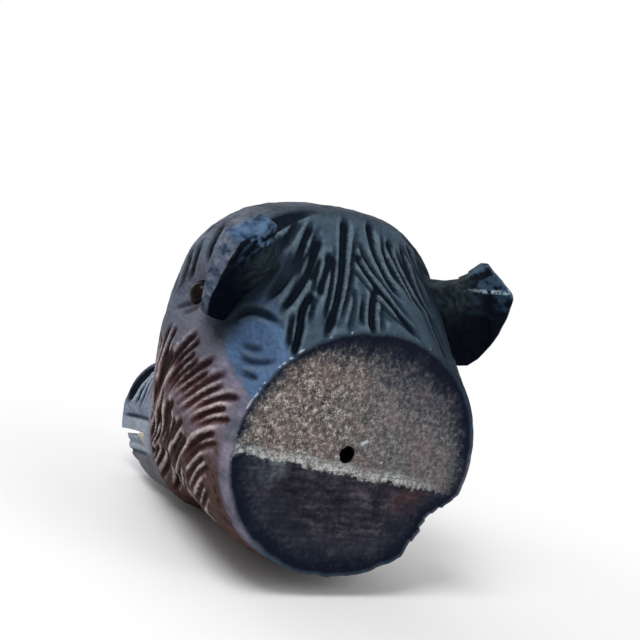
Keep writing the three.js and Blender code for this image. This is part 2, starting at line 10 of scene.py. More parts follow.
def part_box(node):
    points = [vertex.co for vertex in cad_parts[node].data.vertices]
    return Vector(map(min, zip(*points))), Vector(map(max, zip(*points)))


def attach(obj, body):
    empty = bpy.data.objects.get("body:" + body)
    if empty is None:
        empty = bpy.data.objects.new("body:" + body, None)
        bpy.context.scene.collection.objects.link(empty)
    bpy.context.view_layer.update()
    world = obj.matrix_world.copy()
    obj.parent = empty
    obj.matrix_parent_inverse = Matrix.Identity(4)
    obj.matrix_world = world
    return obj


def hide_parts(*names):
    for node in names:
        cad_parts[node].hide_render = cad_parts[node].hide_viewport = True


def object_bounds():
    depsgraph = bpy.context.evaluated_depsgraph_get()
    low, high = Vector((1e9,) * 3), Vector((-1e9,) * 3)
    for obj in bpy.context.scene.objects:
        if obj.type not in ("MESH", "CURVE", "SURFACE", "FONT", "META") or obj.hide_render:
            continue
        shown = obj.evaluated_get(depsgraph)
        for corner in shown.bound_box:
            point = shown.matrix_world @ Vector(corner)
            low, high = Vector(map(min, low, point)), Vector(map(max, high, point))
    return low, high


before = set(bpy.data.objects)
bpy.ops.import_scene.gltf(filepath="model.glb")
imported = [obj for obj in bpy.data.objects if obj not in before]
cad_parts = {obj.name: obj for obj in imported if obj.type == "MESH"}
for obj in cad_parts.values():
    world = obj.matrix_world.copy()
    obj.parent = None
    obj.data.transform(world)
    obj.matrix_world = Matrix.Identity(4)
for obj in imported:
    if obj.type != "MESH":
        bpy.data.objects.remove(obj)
cad_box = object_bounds()

# Sizes are in millimetres, as the carver would measure them, and become metres in the meshes
MM = 0.001

# Sections of the head from the saw cut to the snout. Each gives its place forward of the cut, its
# width, top, bottom and widest height, how square its upper and lower halves are, its lean, and
# how much fuller its right shoulder is than its left
SECTIONS = {
    "neck": (0, 70, 30, 30, 0, 2, 2, 0, 0),
    "nape": (14, 72, 44, 32, 3, 2.2, 2.1, 0, 1),
    "crown": (30, 73, 55.2, 32, 12, 2.6, 2.2, 0, 2.8),
    "brow": (45, 72, 55, 32, 21, 2.6, 2.2, 0, 2.4),
    "face": (54, 63, 50, 35, 12, 2.5, 2.3, 0, 1),
    "ruff": (62, 51, 38, 35, 0, 2.4, 2.5, 0, 0),
    "muzzle": (71, 43, 21, 35, -10, 2.2, 3.1, 0.08, 0),
    "bridge": (80, 38, 7, 35, -16, 2.1, 3.4, 0.2, 0),
    "collar": (89, 35.5, 0, 33.8, -18, 2, 3.4, 0.32, 0),
    "snout": (94, 38, -0.5, 33.8, -18, 2, 3.4, 0.32, 0),
}
SECTION_ROWS = np.array(list(SECTIONS.values()), float)
HEAD_LENGTH = SECTION_ROWS[-1, 0]
NECK_SIDE = SECTION_ROWS[0, 1] / 2
NECK_RISE = SECTION_ROWS[0, 2]
SNOUT_LEAN = SECTION_ROWS[-1, 7]
RUFF_END = 60.0

# How far the skin lies inside the plain form, and inside the box of the solids
SKIN_SET_IN = 0.1
BOX_MARGIN = 0.02

# Joint of the two billets, the mouth sawn along it and the set-back of the lower jaw
JOINT_DROP = 4.5
JOINT_SLOPE = math.radians(12)
GLUE_SEAM = 0.04
MOUTH_LENGTH = 22.0
MOUTH_GAP = 1.2
JAW_SET_BACK = 2.6

# Screw hole in the sawn back, with the shares at which its floor and its wall have rings
SCREW_SIDE = 4.0
SCREW_RADIUS = 2.1
SCREW_DEPTH = 16.0
SAWN_SET_IN = 0.3
HOLE_FLOOR = (0.0, 0.5, 1.0)
HOLE_WALL = (0.75, 0.5, 0.25, 0.1, 0.04)
HOLE_ROWS = len(HOLE_FLOOR) + len(HOLE_WALL)

# Eyes, the way that the left one looks, and the hollow that the carver cut around each
EYE_SPOT = np.array((36.09, -36.5, 27.5))
EYE_GAZE = (0.86, -0.3, 0.22)
EYE_HOLLOW = 3.6
EYE_HOLLOW_REACH = 7.5
EYE_RADIUS = 3.25

# Piece broken out of the rim
CHIP_ANGLE = 214.0
CHIP_RADIUS = 30.0
CHIP_DEPTH = 4.0

# Rooting disc: half its width and height, the depth of its dish, and the nostrils
DISC_SIDE = 19.0
DISC_RISE = 16.0
DISC_DISH = 0.7
NOSTRIL_SIDE = 6.2
NOSTRIL_RISE = 7.8
NOSTRIL_RADIUS = 2.5
NOSTRIL_DEPTH = 4.6

# Fineness of the carved meshes
COLUMNS = 520
SKIN_ROWS = 220
SAWN_ROWS = 26
NOSE_ROWS = 22


def smooth_step(value):
    value = np.clip(value, 0, 1)
    return value * value * (3 - 2 * value)


def ramp(value, low, high):
    """0 at low, 1 at high, eased between them."""
    return smooth_step((np.asarray(value, float) - low) / (high - low))


def lumps(points, size, seed):
    """Smooth noise from 0 to 1 in lumps of the given size."""
    cell = np.asarray(points, float) / size + seed * 17.31
    corner = np.floor(cell).astype(np.int64)
    part = cell - corner
    part = part * part * (3 - 2 * part)
    total = np.zeros(len(cell))
    for step in np.ndindex(2, 2, 2):
        key = (corner + np.array(step)) @ np.array((73856093, 19349663, 83492791)) + seed * 7919
        key = (key ^ (key >> 13)) * 1274126177
        value = ((key ^ (key >> 16)) & 0xFFFF) / 65535.0
        weight = np.prod(np.where(np.array(step) == 1, part, 1 - part), axis=1)
        total += weight * value
    return total


# The plain skin of the head
def sections_at(share):
    """Section sizes at a share of the stations, on a smooth curve through them."""
    rows = SECTION_ROWS
    line = np.vstack([2 * rows[0] - rows[1], rows, 2 * rows[-1] - rows[-2]])
    place = np.clip(share, 0, 1) * (len(rows) - 1)
    index = np.minimum(place.astype(int), len(rows) - 2)
    t = (place - index)[:, None]
    a, b, c, d = (line[index + k] for k in range(4))
    square = (2 * a - 5 * b + 4 * c - d) * t**2
    cube = (3 * b - a - 3 * c + d) * t**3
    return b + ((c - a) * t + square + cube) / 2


FINE_SHARES = np.linspace(0, 1, 1601)
FINE_SECTIONS = sections_at(FINE_SHARES)


def share_at(forward):
    return np.interp(forward, FINE_SECTIONS[:, 0], FINE_SHARES)


def on_section(rows, angle):
    """Points of the sections at the given angles, which turn from the boar's left over the crown."""
    forward, width, top, bottom, widest, upper, lower, lean, sway = rows.T
    c = np.cos(angle)
    s = np.sin(angle)
    power = np.where(s >= 0, upper, lower)
    rise = np.where(s >= 0, top - widest, widest + bottom)
    across = np.sign(c) * np.abs(c) ** (2 / power)
    up = np.sign(s) * np.abs(s) ** (2 / power)
    out = np.stack([across / (width / 2), up / rise])
    out /= np.linalg.norm(out, axis=0)
    fuller = -sway * across * np.maximum(up, 0) ** 2
    x = width / 2 * across + out[0] * fuller
    z = widest + rise * up
    y = -forward - lean * (z - widest)
    return np.stack([x, y, z + out[1] * fuller], axis=-1)


def eye_distance(points):
    spot = np.abs(points * (1, 0, 0)) + points * (0, 1, 1)
    return np.linalg.norm(spot - EYE_SPOT, axis=-1)


def skin_spots(forward, angle):
    """Points on the skin at places forward of the cut, in millimetres, and angles in degrees."""
    rows = sections_at(share_at(np.asarray(forward, float)))
    return on_section(rows, np.radians(np.asarray(angle, float)))


def angle_at_height(forward, height):
    """Angle in degrees, on the boar's left, at which the skin has the given height."""
    rows = sections_at(share_at(np.asarray(forward, float)))
    z = np.asarray(height, float) - rows[:, 4]
    rise = np.where(z >= 0, rows[:, 2] - rows[:, 4], rows[:, 4] + rows[:, 3])
    power = np.where(z >= 0, rows[:, 5], rows[:, 6])
    s = np.clip(np.abs(z) / rise, 0, 1) ** (power / 2)
    return np.degrees(np.arcsin(s)) * np.sign(z)


def plain_rings(end):
    """Evenly spaced rings of the plain skin up to the end, with each point's angle and place forward."""
    share = np.linspace(0, share_at(end), 1200)
    rows = sections_at(share)
    step = np.zeros(len(share))
    for column, weight in ((2, 0.4), (1, 0.4), (3, 0.2)):
        line = np.stack([rows[:, 0], rows[:, column]], axis=1)
        step[1:] += weight * np.linalg.norm(np.diff(line, axis=0), axis=1)
    reach = np.cumsum(step)
    share = np.interp(np.linspace(0, reach[-1], SKIN_ROWS), reach, share)
    quarter = smooth_step(np.linspace(0, 1, 181))
    turn = np.concatenate([quarter[:-1] + k for k in range(4)] + [[4.0]]) * math.pi / 2 - math.pi / 2
    points = np.zeros((SKIN_ROWS, COLUMNS, 3))
    angles = np.zeros((SKIN_ROWS, COLUMNS))
    for i, row in enumerate(sections_at(share)):
        ring = on_section(np.repeat(row[None], len(turn), axis=0), turn)
        length = np.zeros(len(turn))
        length[1:] = np.cumsum(np.linalg.norm(np.diff(ring, axis=0), axis=1))
        spot = np.arange(COLUMNS) * length[-1] / COLUMNS
        for axis in range(3):
            points[i, :, axis] = np.interp(spot, length, ring[:, axis])
        angles[i] = np.degrees(np.interp(spot, length, turn))
    forward = np.repeat(sections_at(share)[:, :1], COLUMNS, axis=1)
    return points, angles, forward


def ring_normals(points):
    along = np.gradient(points, axis=0)
    around = np.roll(points, -1, axis=1) - np.roll(points, 1, axis=1)
    normal = np.cross(around, along)
    return normal / np.maximum(np.linalg.norm(normal, axis=-1, keepdims=True), 1e-9)


def softened(field, passes):
    """A field over the rings with its sharpest steps smoothed, as sanding and wear do."""
    for _ in range(passes):
        field = (np.roll(field, 1, 1) + 2 * field + np.roll(field, -1, 1)) / 4
        ahead = np.vstack([field[1:], field[-1:]])
        behind = np.vstack([field[:1], field[:-1]])
        field = (ahead + 2 * field + behind) / 4
    return field


# Gouge work. A tool is given by the two powers that shape its cut and by the share of its width
# above the path: a round gouge leaves a trough, a V tool a straight-sided groove, a strand cut a
# groove with rounded shoulders, and a tuft cut a slope under a steep upper wall.
ROUND_GOUGE = (2.0, 1.0, 1.0)
VEE_TOOL = (1.0, 1.0, 1.0)
STRAND_CUT = (1.15, 1.0, 1.0)
TUFT_CUT = (1.0, 1.0, 0.2)


class Carving:
    """A field of cut depths over the skin's points."""

    def __init__(self, points):
        self.points = points.reshape(-1, 3)
        self.depth = np.zeros(len(self.points))

    def stroke(self, path, half_width, depth, tool=ROUND_GOUGE, fade=(0.25, 0.25)):
        """One pass of a tool along a path, which enters and leaves the wood over the fades."""
        path = np.asarray(path, float)
        run = np.linspace(0, 1, len(path))
        swell = smooth_step(run / fade[0]) * smooth_step((1 - run) / fade[1])
        widths = half_width * (0.12 + 0.88 * swell**0.7)
        depths = depth * swell
        low = path.min(axis=0) - half_width
        high = path.max(axis=0) + half_width
        inside = np.all((self.points > low) & (self.points < high), axis=1)
        near = np.flatnonzero(inside)
        if len(near) == 0:
            return
        spots = self.points[near]
        best = np.zeros(len(near))
        for k in range(len(path) - 1):
            ahead = path[k + 1] - path[k]
            t = np.clip((spots - path[k]) @ ahead / max(ahead @ ahead, 1e-9), 0, 1)
            away = spots - path[k] - t[:, None] * ahead
            gap = np.linalg.norm(away, axis=1)
            width = widths[k] + (widths[k + 1] - widths[k]) * t
            width = np.where(away[:, 2] > 0, width * tool[2], width)
            deep = depths[k] + (depths[k + 1] - depths[k]) * t
            r = np.clip(gap / np.maximum(width, 1e-6), 0, 1)
            best = np.maximum(best, deep * (1 - r ** tool[0]) ** tool[1])
        self.depth[near] = np.maximum(self.depth[near], best)


def both_sides(path):
    return path, path * (-1, 1, 1)


def curve_through(start, middle, end, steps=18):
    """A smooth line through three places, each given forward of the cut and as an angle."""
    t = np.linspace(0, 1, steps)[:, None]
    start, middle, end = (np.array(place, float) for place in (start, middle, end))
    line = start * (1 - t) * (1 - 2 * t) + 4 * middle * t * (1 - t) + end * t * (2 * t - 1)
    return line[:, 0], line[:, 1]


def skin_line(forward, angle):
    """Points of a line on the skin, which may run out past the saw cut."""
    path = skin_spots(np.maximum(forward, 0), angle)
    path[:, 1] -= np.minimum(forward, 0)
    return path


def carve_lines(carving, lines, fade):
    """V cuts on both sides, each given by three places on its way, its depth and its half width."""
    for start, middle, end, depth, half_width in lines:
        path = skin_line(*curve_through(start, middle, end))
        for side in both_sides(path):
            carving.stroke(side, half_width, depth, VEE_TOOL, fade)


# Mane: each groove's start by the crest, a place on its way and its end, and its depth and width.
# The strands beside a groove lie so many degrees off it and have a share of its depth
MANE_DEEPER = 1.6
MANE_NARROWER = 0.58
MANE_STRANDS = ((-4.3, 0.62), (2.2, 0.25), (4.3, 0.62))
MANE_CUTS = (
    ((28, 69), (22.3, 55.5), (18, 44), 1.0, 2.3),
    ((26, 73.5), (16.8, 57), (13.3, 39), 1.2, 2.5),
    ((21.5, 73), (13.5, 59.5), (9, 42.5), 1.25, 2.5),
    ((17, 74), (12.5, 67.7), (7.5, 61.5), 1.1, 2.2),
    ((9.5, 60), (6, 51.5), (-1, 42), 1.3, 2.5),
    ((28.5, 87.5), (12, 75.3), (-1, 55), 1.4, 2.7),
    ((9, 78), (5, 75), (-1, 68.5), 0.6, 1.6),
    ((28.5, 94), (16.5, 92), (7, 99.5), 1.2, 2.3),
    ((17.5, 87.2), (9.5, 87.3), (-1, 110), 1.1, 2.2),
    ((6.5, 88), (3.6, 92.3), (0.5, 106), 0.7, 1.4),
    ((23.5, 101), (15.5, 101.7), (6, 112.5), 1.3, 2.4),
    ((24, 106.5), (15, 109), (5, 121), 1.0, 2.1),
    ((25, 112), (20.5, 115), (13, 129), 1.2, 2.4),
    ((27, 118), (22, 122), (17, 134), 0.9, 2.1),
    ((9, 87.5), (4.5, 83.8), (-1, 79), 1.2, 2.6),
    ((12, 113), (6.5, 116.5), (-1, 122), 0.6, 1.8),
    ((13, 131), (8, 133), (2, 138), 0.7, 1.8),
)


def carve_mane(carving, dice):
    """The main grooves, with finer strands beside each of them."""
    for start, middle, end, depth, half_width in MANE_CUTS:
        forward, angle = curve_through(start, middle, end)
        waver = np.sin(np.linspace(0, 1, len(angle)) * dice.uniform(5, 9) + dice.uniform(0, 6))
        angle = angle + 0.5 * waver
        path = skin_line(forward, angle)
        width = half_width * MANE_NARROWER
        carving.stroke(path, width, depth * MANE_DEEPER, STRAND_CUT, fade=(0.14, 0.2))
        for aside, share in MANE_STRANDS:
            first = int(dice.uniform(0, 5))
            last = int(dice.uniform(13, 19))
            beside = angle[first:last] + aside * dice.uniform(0.9, 1.1)
            path = skin_line(forward[first:last], beside)
            deep = MANE_DEEPER * depth * share * dice.uniform(0.85, 1.3)
            carving.stroke(path, 0.75 + 0.5 * share, deep, VEE_TOOL, fade=(0.35, 0.3))


# Cheek ruff: long V cuts that follow the lie of the hair, level behind and turning down to the
# throat in front, each with a shallow scoop under it. Every second one starts later, and is left
# out where it would crowd the front
HAIR_CROWDED = 38.0
HAIR_MIDDLE = 20.0
HAIR_TOP = 50.25
HAIR_STEP = 2.75
HAIR_LINES = 28
HAIR_CEILING = 19.0
HAIR_REACH = 70.0
HAIR_LENGTHS = (20.0, 31.0)
HAIR_HALF_WIDTH = 1.2
HAIR_DEPTH = 1.6
SCOOP_HALF_WIDTH = 2.6
SCOOP_DEPTH = 0.4
THROAT = -29.5


def hair_slope(forward, height):
    """Fall of the hair for each millimetre forward."""
    front = ramp(forward, 27, 45) * ramp(height, -16, 4)
    return 0.15 + 0.6 * ramp(forward, 2, 20) + 1.3 * front


def hair_begin(height):
    """Where the hair starts, forward of the patch above and of the plain strip below."""
    return 2.0 * np.maximum(height - 10, 0) + 0.5 * np.maximum(4 - height, 0)


def hair_line(level, ceiling):
    """One line of hair, through a level at the middle of the cheek and starting under the ceiling."""
    step = 1.0
    forward = np.arange(1.0, RUFF_END, step)
    height = np.full(len(forward), level)
    middle = int(np.searchsorted(forward, HAIR_MIDDLE))
    for k in range(middle, 0, -1):
        height[k - 1] = height[k] + step * hair_slope(forward[k], height[k])
    for k in range(middle + 1, len(forward)):
        height[k] = height[k - 1] - step * hair_slope(forward[k], height[k - 1])
    shown = (forward > hair_begin(height)) & (height > THROAT) & (height < ceiling)
    forward = forward[shown]
    return forward, skin_spots(forward, angle_at_height(forward, height[shown]))


def carve_cheeks(carving, dice):
    for k in range(HAIR_LINES):
        late = k % 2 == 1
        begin = dice.uniform(0, 1) + late * dice.uniform(2, 6)
        ceiling = HAIR_CEILING + dice.uniform(-4, 3)
        while begin < HAIR_REACH:
            forward, path = hair_line(HAIR_TOP - HAIR_STEP * k + dice.uniform(-0.35, 0.35), ceiling)
            run = np.zeros(len(path))
            run[1:] = np.cumsum(np.linalg.norm(np.diff(path, axis=0), axis=1))
            end = begin + dice.uniform(*HAIR_LENGTHS)
            part = (run >= begin) & (run <= end)
            crowded = late and part.any() and forward[part][0] > HAIR_CROWDED
            begin = end - dice.uniform(1, 4)
            depth = dice.uniform(0.8, 1.15)
            if part.sum() < 6 or crowded:
                continue
            for side in both_sides(path[part]):
                carving.stroke(side, SCOOP_HALF_WIDTH, depth * SCOOP_DEPTH, TUFT_CUT, fade=(0.14, 0.6))
                carving.stroke(side, HAIR_HALF_WIDTH, depth * HAIR_DEPTH, VEE_TOOL, fade=(0.2, 0.45))


# Patch between the ear and the saw cut: scallop lines across it, the cut under its raised upper
# edge, and the strands under the ear, with shallow dents all over it
PATCH_DENTS = 14
PATCH_LINES = (
    ((12.8, 23.7), (8, 28.5), (5, 34.5), 1.1, 0.95),
    ((11.6, 21.3), (5, 27.5), (0.5, 40), 1.2, 1.0),
    ((7.8, 18.3), (4.6, 22.4), (1, 26), 1.2, 0.95),
    ((17, 21.5), (14, 34.5), (3.4, 45.5), 1.6, 1.4),
    ((33.5, 8.6), (23.1, 16.3), (16, 22.5), 0.6, 1.2),
    ((26.7, 11.2), (20.8, 15.4), (15.5, 18.8), 0.6, 1.2),
    ((23.5, 18), (18, 23.4), (14.5, 27.5), 0.55, 1.1),
    ((30, 13.5), (25, 17), (20, 21), 0.5, 1.0),
)


def carve_patch(carving, dice):
    carve_lines(carving, PATCH_LINES, (0.3, 0.35))
    t = np.linspace(0, 1, 8)
    for _ in range(PATCH_DENTS):
        path = skin_line(dice.uniform(1, 9) + 7 * t, dice.uniform(20, 40) + dice.uniform(-4, 4) * t)
        for side in both_sides(path):
            carving.stroke(side, dice.uniform(1.6, 2.6), dice.uniform(0.1, 0.25), fade=(0.4, 0.4))


# Brow: strands beside the ear, over the eye and down to the cheek, and those on the face
FOREHEAD_STRANDS = 10
BROW_FACETS = 30
BROW_CUTS = (
    ((42.9, 47.3), (37.9, 29.6), (36.3, 19), 1.3, 1.3),
    ((42.2, 30), (41.8, 17), (42.7, 5), 1.1, 1.5),
    ((44.5, 26), (44.4, 12), (44.2, 1), 1.0, 1.4),
    ((47.7, 24), (47.9, 11), (46.6, 0), 1.1, 1.5),
    ((51, 23), (51.2, 10), (50, -2), 1.0, 1.5),
    ((54, 24), (54.4, 11), (53, -2), 0.9, 1.4),
    ((47, 46), (44.5, 36), (43.5, 27), 0.9, 1.3),
    ((50, 45), (48.3, 34), (48, 25), 0.9, 1.3),
    ((53.5, 44), (52, 35), (51.3, 25), 0.8, 1.3),
    ((33.8, 11), (38.5, 4.2), (44.3, -1.7), 0.9, 1.2),
    ((31.5, 13), (35.5, 5), (40, 1.5), 0.8, 1.1),
    ((40, 58), (44, 50), (46, 41), 0.6, 1.3),
)


def carve_brow(carving, dice):
    """The stop cut where the mane leaves the brow, the strands round the eyes, and dull facets."""
    t = np.linspace(0, 1, 16)
    stop = skin_spots(*curve_through((26.5, 46), (28.4, 63), (27.6, 82)))
    for side in both_sides(stop):
        carving.stroke(side, 3.0, 2.2, ROUND_GOUGE, fade=(0.3, 0.6))
    carve_lines(carving, BROW_CUTS, (0.35, 0.35))
    for k in range(FOREHEAD_STRANDS):
        begin = 41 + 1.2 * (k % 3) + dice.uniform(0, 4)
        path = skin_spots(begin + dice.uniform(13, 20) * t, 55 + 4 * k + dice.uniform(-3, 3) * t)
        for side in both_sides(path):
            carving.stroke(side, 1.3, dice.uniform(0.6, 1.0), VEE_TOOL, fade=(0.4, 0.4))
    for _ in range(BROW_FACETS):
        begin = dice.uniform(30, 46)
        angle = dice.uniform(36, 90)
        length = dice.uniform(7, 14)
        path = skin_spots(begin + length * t, angle + dice.uniform(-4, 4) * t)
        for side in both_sides(path):
            carving.stroke(side, dice.uniform(1.6, 2.8), dice.uniform(0.14, 0.34))


# Muzzle: close wrinkles down its sides, and the lines that edge the lips
WRINKLES = 7
WRINKLE_FIRST = 66.5
WRINKLE_STEP = 4.1
WRINKLE_HALF_WIDTH = 1.9
LIP_START = 66.0
LIP_LENGTH = 27.0
LIP_LINES = (4.6, -2.4, -5.2)
TOOL_MARKS = 240


def from_joint(forward, height):
    """Height over the joint of the billets, which falls towards the snout."""
    return height + JOINT_DROP + forward * math.tan(JOINT_SLOPE)


def carve_muzzle(carving, dice):
    t = np.linspace(0, 1, 16)
    for k in range(WRINKLES):
        forward = WRINKLE_FIRST + WRINKLE_STEP * (k + dice.uniform(-0.1, 0.1)) + 1.2 * t**2
        angle = 84 - dice.uniform(76, 84) * t
        for side in both_sides(skin_spots(forward, angle)):
            depth = dice.uniform(1.5, 2.1)
            carving.stroke(side, WRINKLE_HALF_WIDTH, depth, VEE_TOOL, fade=(0.2, 0.18))
    forward = LIP_START + LIP_LENGTH * t
    for rise in LIP_LINES:
        height = rise - from_joint(forward, 0)
        for side in both_sides(skin_spots(forward, angle_at_height(forward, height))):
            carving.stroke(side, 1.0, 0.75, VEE_TOOL, fade=(0.2, 0.05))


def carve_tool_marks(carving, dice):
    """The flat facets that a gouge leaves on every plain surface."""
    t = np.linspace(0, 1, 7)
    for _ in range(TOOL_MARKS):
        begin = dice.uniform(2, 86)
        angle = dice.uniform(-90, 270)
        length = dice.uniform(5, 11)
        path = skin_spots(np.clip(begin + length * t, 0, 93), angle + dice.uniform(-6, 6) * t)
        carving.stroke(path, dice.uniform(1.4, 2.6), dice.uniform(0.08, 0.2), fade=(0.4, 0.4))


# Painted shade round the ears, to this distance
EAR_SHADE = 8.0


def ear_trees():
    trees = []
    for name in ("left_ear", "right_ear"):
        form = bmesh.new()
        form.from_mesh(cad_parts[name].data)
        bmesh.ops.remove_doubles(form, verts=form.verts, dist=1e-6)
        trees.append((BVHTree.FromBMesh(form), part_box(name)))
        form.free()
    return trees


def ear_clearance(points):
    """Distance from each point to the nearer ear, as far as the painted shade round it reaches."""
    reach = EAR_SHADE
    gap = np.full(len(points), reach)
    for tree, (low, high) in ear_trees():
        low = np.array(low) / MM - reach
        high = np.array(high) / MM + reach
        for index in np.flatnonzero(np.all((points > low) & (points < high), axis=1)):
            hit = tree.find_nearest(Vector(points[index] * MM))
            if hit[0] is not None:
                gap[index] = min(gap[index], hit[3] / MM)
    return gap


def broken_rim(points):
    """How far the break in the rim of the lower billet cuts into the skin."""
    rim = skin_spots([0.0], [CHIP_ANGLE])[0]
    turn = math.radians(CHIP_ANGLE)
    away = np.array((math.cos(turn) * NECK_RISE, 0, math.sin(turn) * NECK_SIDE))
    away /= np.linalg.norm(away)
    middle = rim + away * (CHIP_RADIUS - CHIP_DEPTH)
    inside = CHIP_RADIUS - np.linalg.norm(points - middle, axis=1)
    around = points @ np.cross(away, (0, 1, 0))
    steps = np.floor(around / 3.1 + 0.8 * lumps(points, 5, 41)) * 1.7
    ragged = 0.8 + 0.4 * np.abs(np.sin(steps * 2.3))
    return np.clip(inside, 0, None) * ragged


# Rings of the carved head. Each part comes with masks that tell the stain where each finish lies, and
# where painted light and shade go
def carved_skin(end, seed):
    """The skin from the saw cut to the end, with all the carver's cuts in it."""
    dice = np.random.default_rng(seed)
    plain, angles, forward = plain_rings(end)
    shape = plain.shape
    flat = plain.reshape(-1, 3)
    out = ring_normals(plain).reshape(-1, 3)
    forward = forward.reshape(-1)
    carving = Carving(plain)
    for carve in (carve_mane, carve_cheeks, carve_patch, carve_brow, carve_muzzle, carve_tool_marks):
        carve(carving, dice)
    ear_gap = ear_clearance(flat)
    clear = ramp(ear_gap, 0.3, 1.6)
    eye_gap = eye_distance(flat)
    eye_ring = ramp(eye_gap, EYE_RADIUS * 0.9, EYE_RADIUS * 1.5)
    depth = softened(carving.depth.reshape(shape[:2]), 1).reshape(-1) * clear * eye_ring
    hollow = EYE_HOLLOW * np.exp(-((eye_gap / EYE_HOLLOW_REACH) ** 2))
    rough = (lumps(flat, 1.1, 3) - 0.5) * 0.12 + (lumps(flat, 3.4, 4) - 0.5) * 0.25
    rough += (lumps(flat, 2.6, 5) - 0.5) * 1.1 * (1 - ramp(forward, 0, 2.5))
    rough = np.maximum(rough * clear, -0.08)
    skin = flat - out * (depth + hollow + rough + SKIN_SET_IN + broken_rim(flat))[:, None]
    skin[:, 1] = np.minimum(skin[:, 1], -SAWN_SET_IN * (forward <= 0.01))
    skin = np.clip(skin, np.array(cad_box[0]) / MM + BOX_MARGIN, np.array(cad_box[1]) / MM - BOX_MARGIN)
    skin = skin.reshape(shape)
    return skin, skin_masks(skin, angles.reshape(-1), forward, depth, ear_gap, out)


def skin_masks(skin, angle, forward, depth, ear_gap, out):
    """Grooves with painted shade, ridges paler from wear and a painted highlight, brown cheeks, smooth
    patches with painted sky reflection, and the stain's other fields on the skin.
    """
    spots = skin.reshape(-1, 3)
    height = spots[:, 2]
    folded = np.where(np.cos(np.radians(angle)) >= 0, angle, 180 - angle)
    downturn_for_shade = ring_normals(skin).reshape(-1, 3)[:, 2] - out[:, 2]
    lap = (np.roll(skin, 1, 1) + np.roll(skin, -1, 1)) / 2 - skin
    lap[1:-1] += (skin[:-2] + skin[2:]) / 2 - skin[1:-1]
    bend = -np.sum(lap.reshape(-1, 3) * out, axis=1).reshape(skin.shape[:2])
    bend = softened(bend, 2).reshape(-1)
    stray = 5 * lumps(spots, 4.5, 61) + 3 * lumps(spots, 1.8, 62) - 4
    cheek = ramp(forward, 1.5, 5) * (1 - ramp(forward + stray, 57, 61)) * ramp(folded + stray, 24, 15)
    cheek *= 1 - 0.75 * ramp(forward, 30, 42) * ramp(height, 14, 22)
    patch = ramp(folded + 0.7 * stray, 16, 20) * (1 - ramp(folded, 41, 45)) * (1 - ramp(forward, 13, 18))
    strip = (1 - ramp(forward, 3, 5.5)) * (1 - ramp(folded, 6, 14)) * ramp(folded, -58, -36)
    upper_cheek = ramp(folded, 2, 12) * (1 - ramp(forward, 12, 22)) * (1 - patch)
    flank = ramp(folded - angle, -10, -80) * ramp(folded, 10, 30) * (1 - ramp(forward, 34, 44))
    dome = ramp(forward, 25, 30) * (1 - ramp(forward, 42, 54)) * ramp(folded, 46, 62)
    over_joint = from_joint(forward, height)
    nicks = 0.5 * lumps(spots, 1.7, 71) + 0.5 * lumps(spots, 0.7, 72)
    nicks -= 0.12 * ramp(angle, 40, 50) + 0.06 * ramp(angle, 75, 85)
    nicks -= 0.6 * (1 - ramp(angle, 12, 16)) + 0.6 * ramp(angle, 120, 124)
    return {
        # Darker with cut depth, partly stain held in the cuts and partly painted shade; walls turned
        # downward get more painted shade
        "groove": np.clip(depth / 1.05 - 0.35 * downturn_for_shade, 0, 1),
        # Paler ridges: partly wear, partly a painted highlight
        "worn_and_highlit": ramp(bend, 0.03, 0.1),
        "brown": cheek * (0.5 + 0.5 * ramp(height, 16, 2)),
        # Painted sky reflection on the smooth patch
        "patch_sky_reflection": patch,
        "lilac": np.clip(strip + 0.7 * upper_cheek * (folded < 30), 0, 1),
        "pale": ramp(forward, 27, 36) * (1 - cheek),
        "low": ramp(height, 6, -12),
        # Painted shade on the right flank and on the top of the crown
        "painted_side_shade": np.maximum(flank, 0.7 * dome),
        "muzzle": ramp(forward, RUFF_END, RUFF_END + 5),
        "chin": ramp(forward, RUFF_END - 6, RUFF_END + 2) * ramp(over_joint, -4, -6),
        # Painted highlight along the lips
        "lip_highlight": ramp(forward, 62, 68) * (1 - ramp(np.abs(over_joint), 3.6, 4.8)),
        # Painted shade round the ears
        "painted_ear_shade": (1 - ramp(ear_gap, 0.5, EAR_SHADE)) * (1 - ramp(forward, 27, 32)),
        # Pale chips along the rim, partly a painted highlight on its edge
        "chips_and_rim_glint": (1 - ramp(forward, 0.1, 0.6)) * ramp(nicks, 0.36, 0.66),
    }


def sawn_back(rim):
    """From the bottom of the screw hole, up its wall and over the sawn end grain to the rim."""
    middle = np.array((SCREW_SIDE, 0, 0))
    ray = rim - middle
    heading = ray / np.linalg.norm(ray * (1, 0, 1), axis=1, keepdims=True)
    hole = middle + heading * (1, 0, 1) * SCREW_RADIUS
    bottom = np.array((0, -SCREW_DEPTH, 0))
    rings = [middle + bottom + (hole - middle) * share for share in HOLE_FLOOR]
    rings += [hole + bottom * share for share in HOLE_WALL]
    for share in np.linspace(0, 1, SAWN_ROWS, endpoint=False):
        rings.append(hole + (rim * (1, 0, 1) - hole) * share - (0, SAWN_SET_IN, 0))
    back = np.array(rings)
    face = back[HOLE_ROWS:].reshape(-1, 3)
    grit = 0.5 * lumps(face, 0.8, 11) + 0.3 * lumps(face, 1.7, 12) + 0.2 * lumps(face, 5, 13)
    saw_lines = 0.06 * np.sin(face[:, 2] * 5.2 + 3 * lumps(face, 9, 14))
    above = ramp(face[:, 2], -JOINT_DROP - 0.5, -JOINT_DROP + 0.5)
    relief = (0.16 + 0.2 * above) * (grit - 0.5) * 2 + saw_lines
    face[:, 1] = np.minimum(face[:, 1] - relief - 0.1, 0)
    back[HOLE_ROWS:] = face.reshape(back[HOLE_ROWS:].shape)
    return back, back_masks(back, rim)


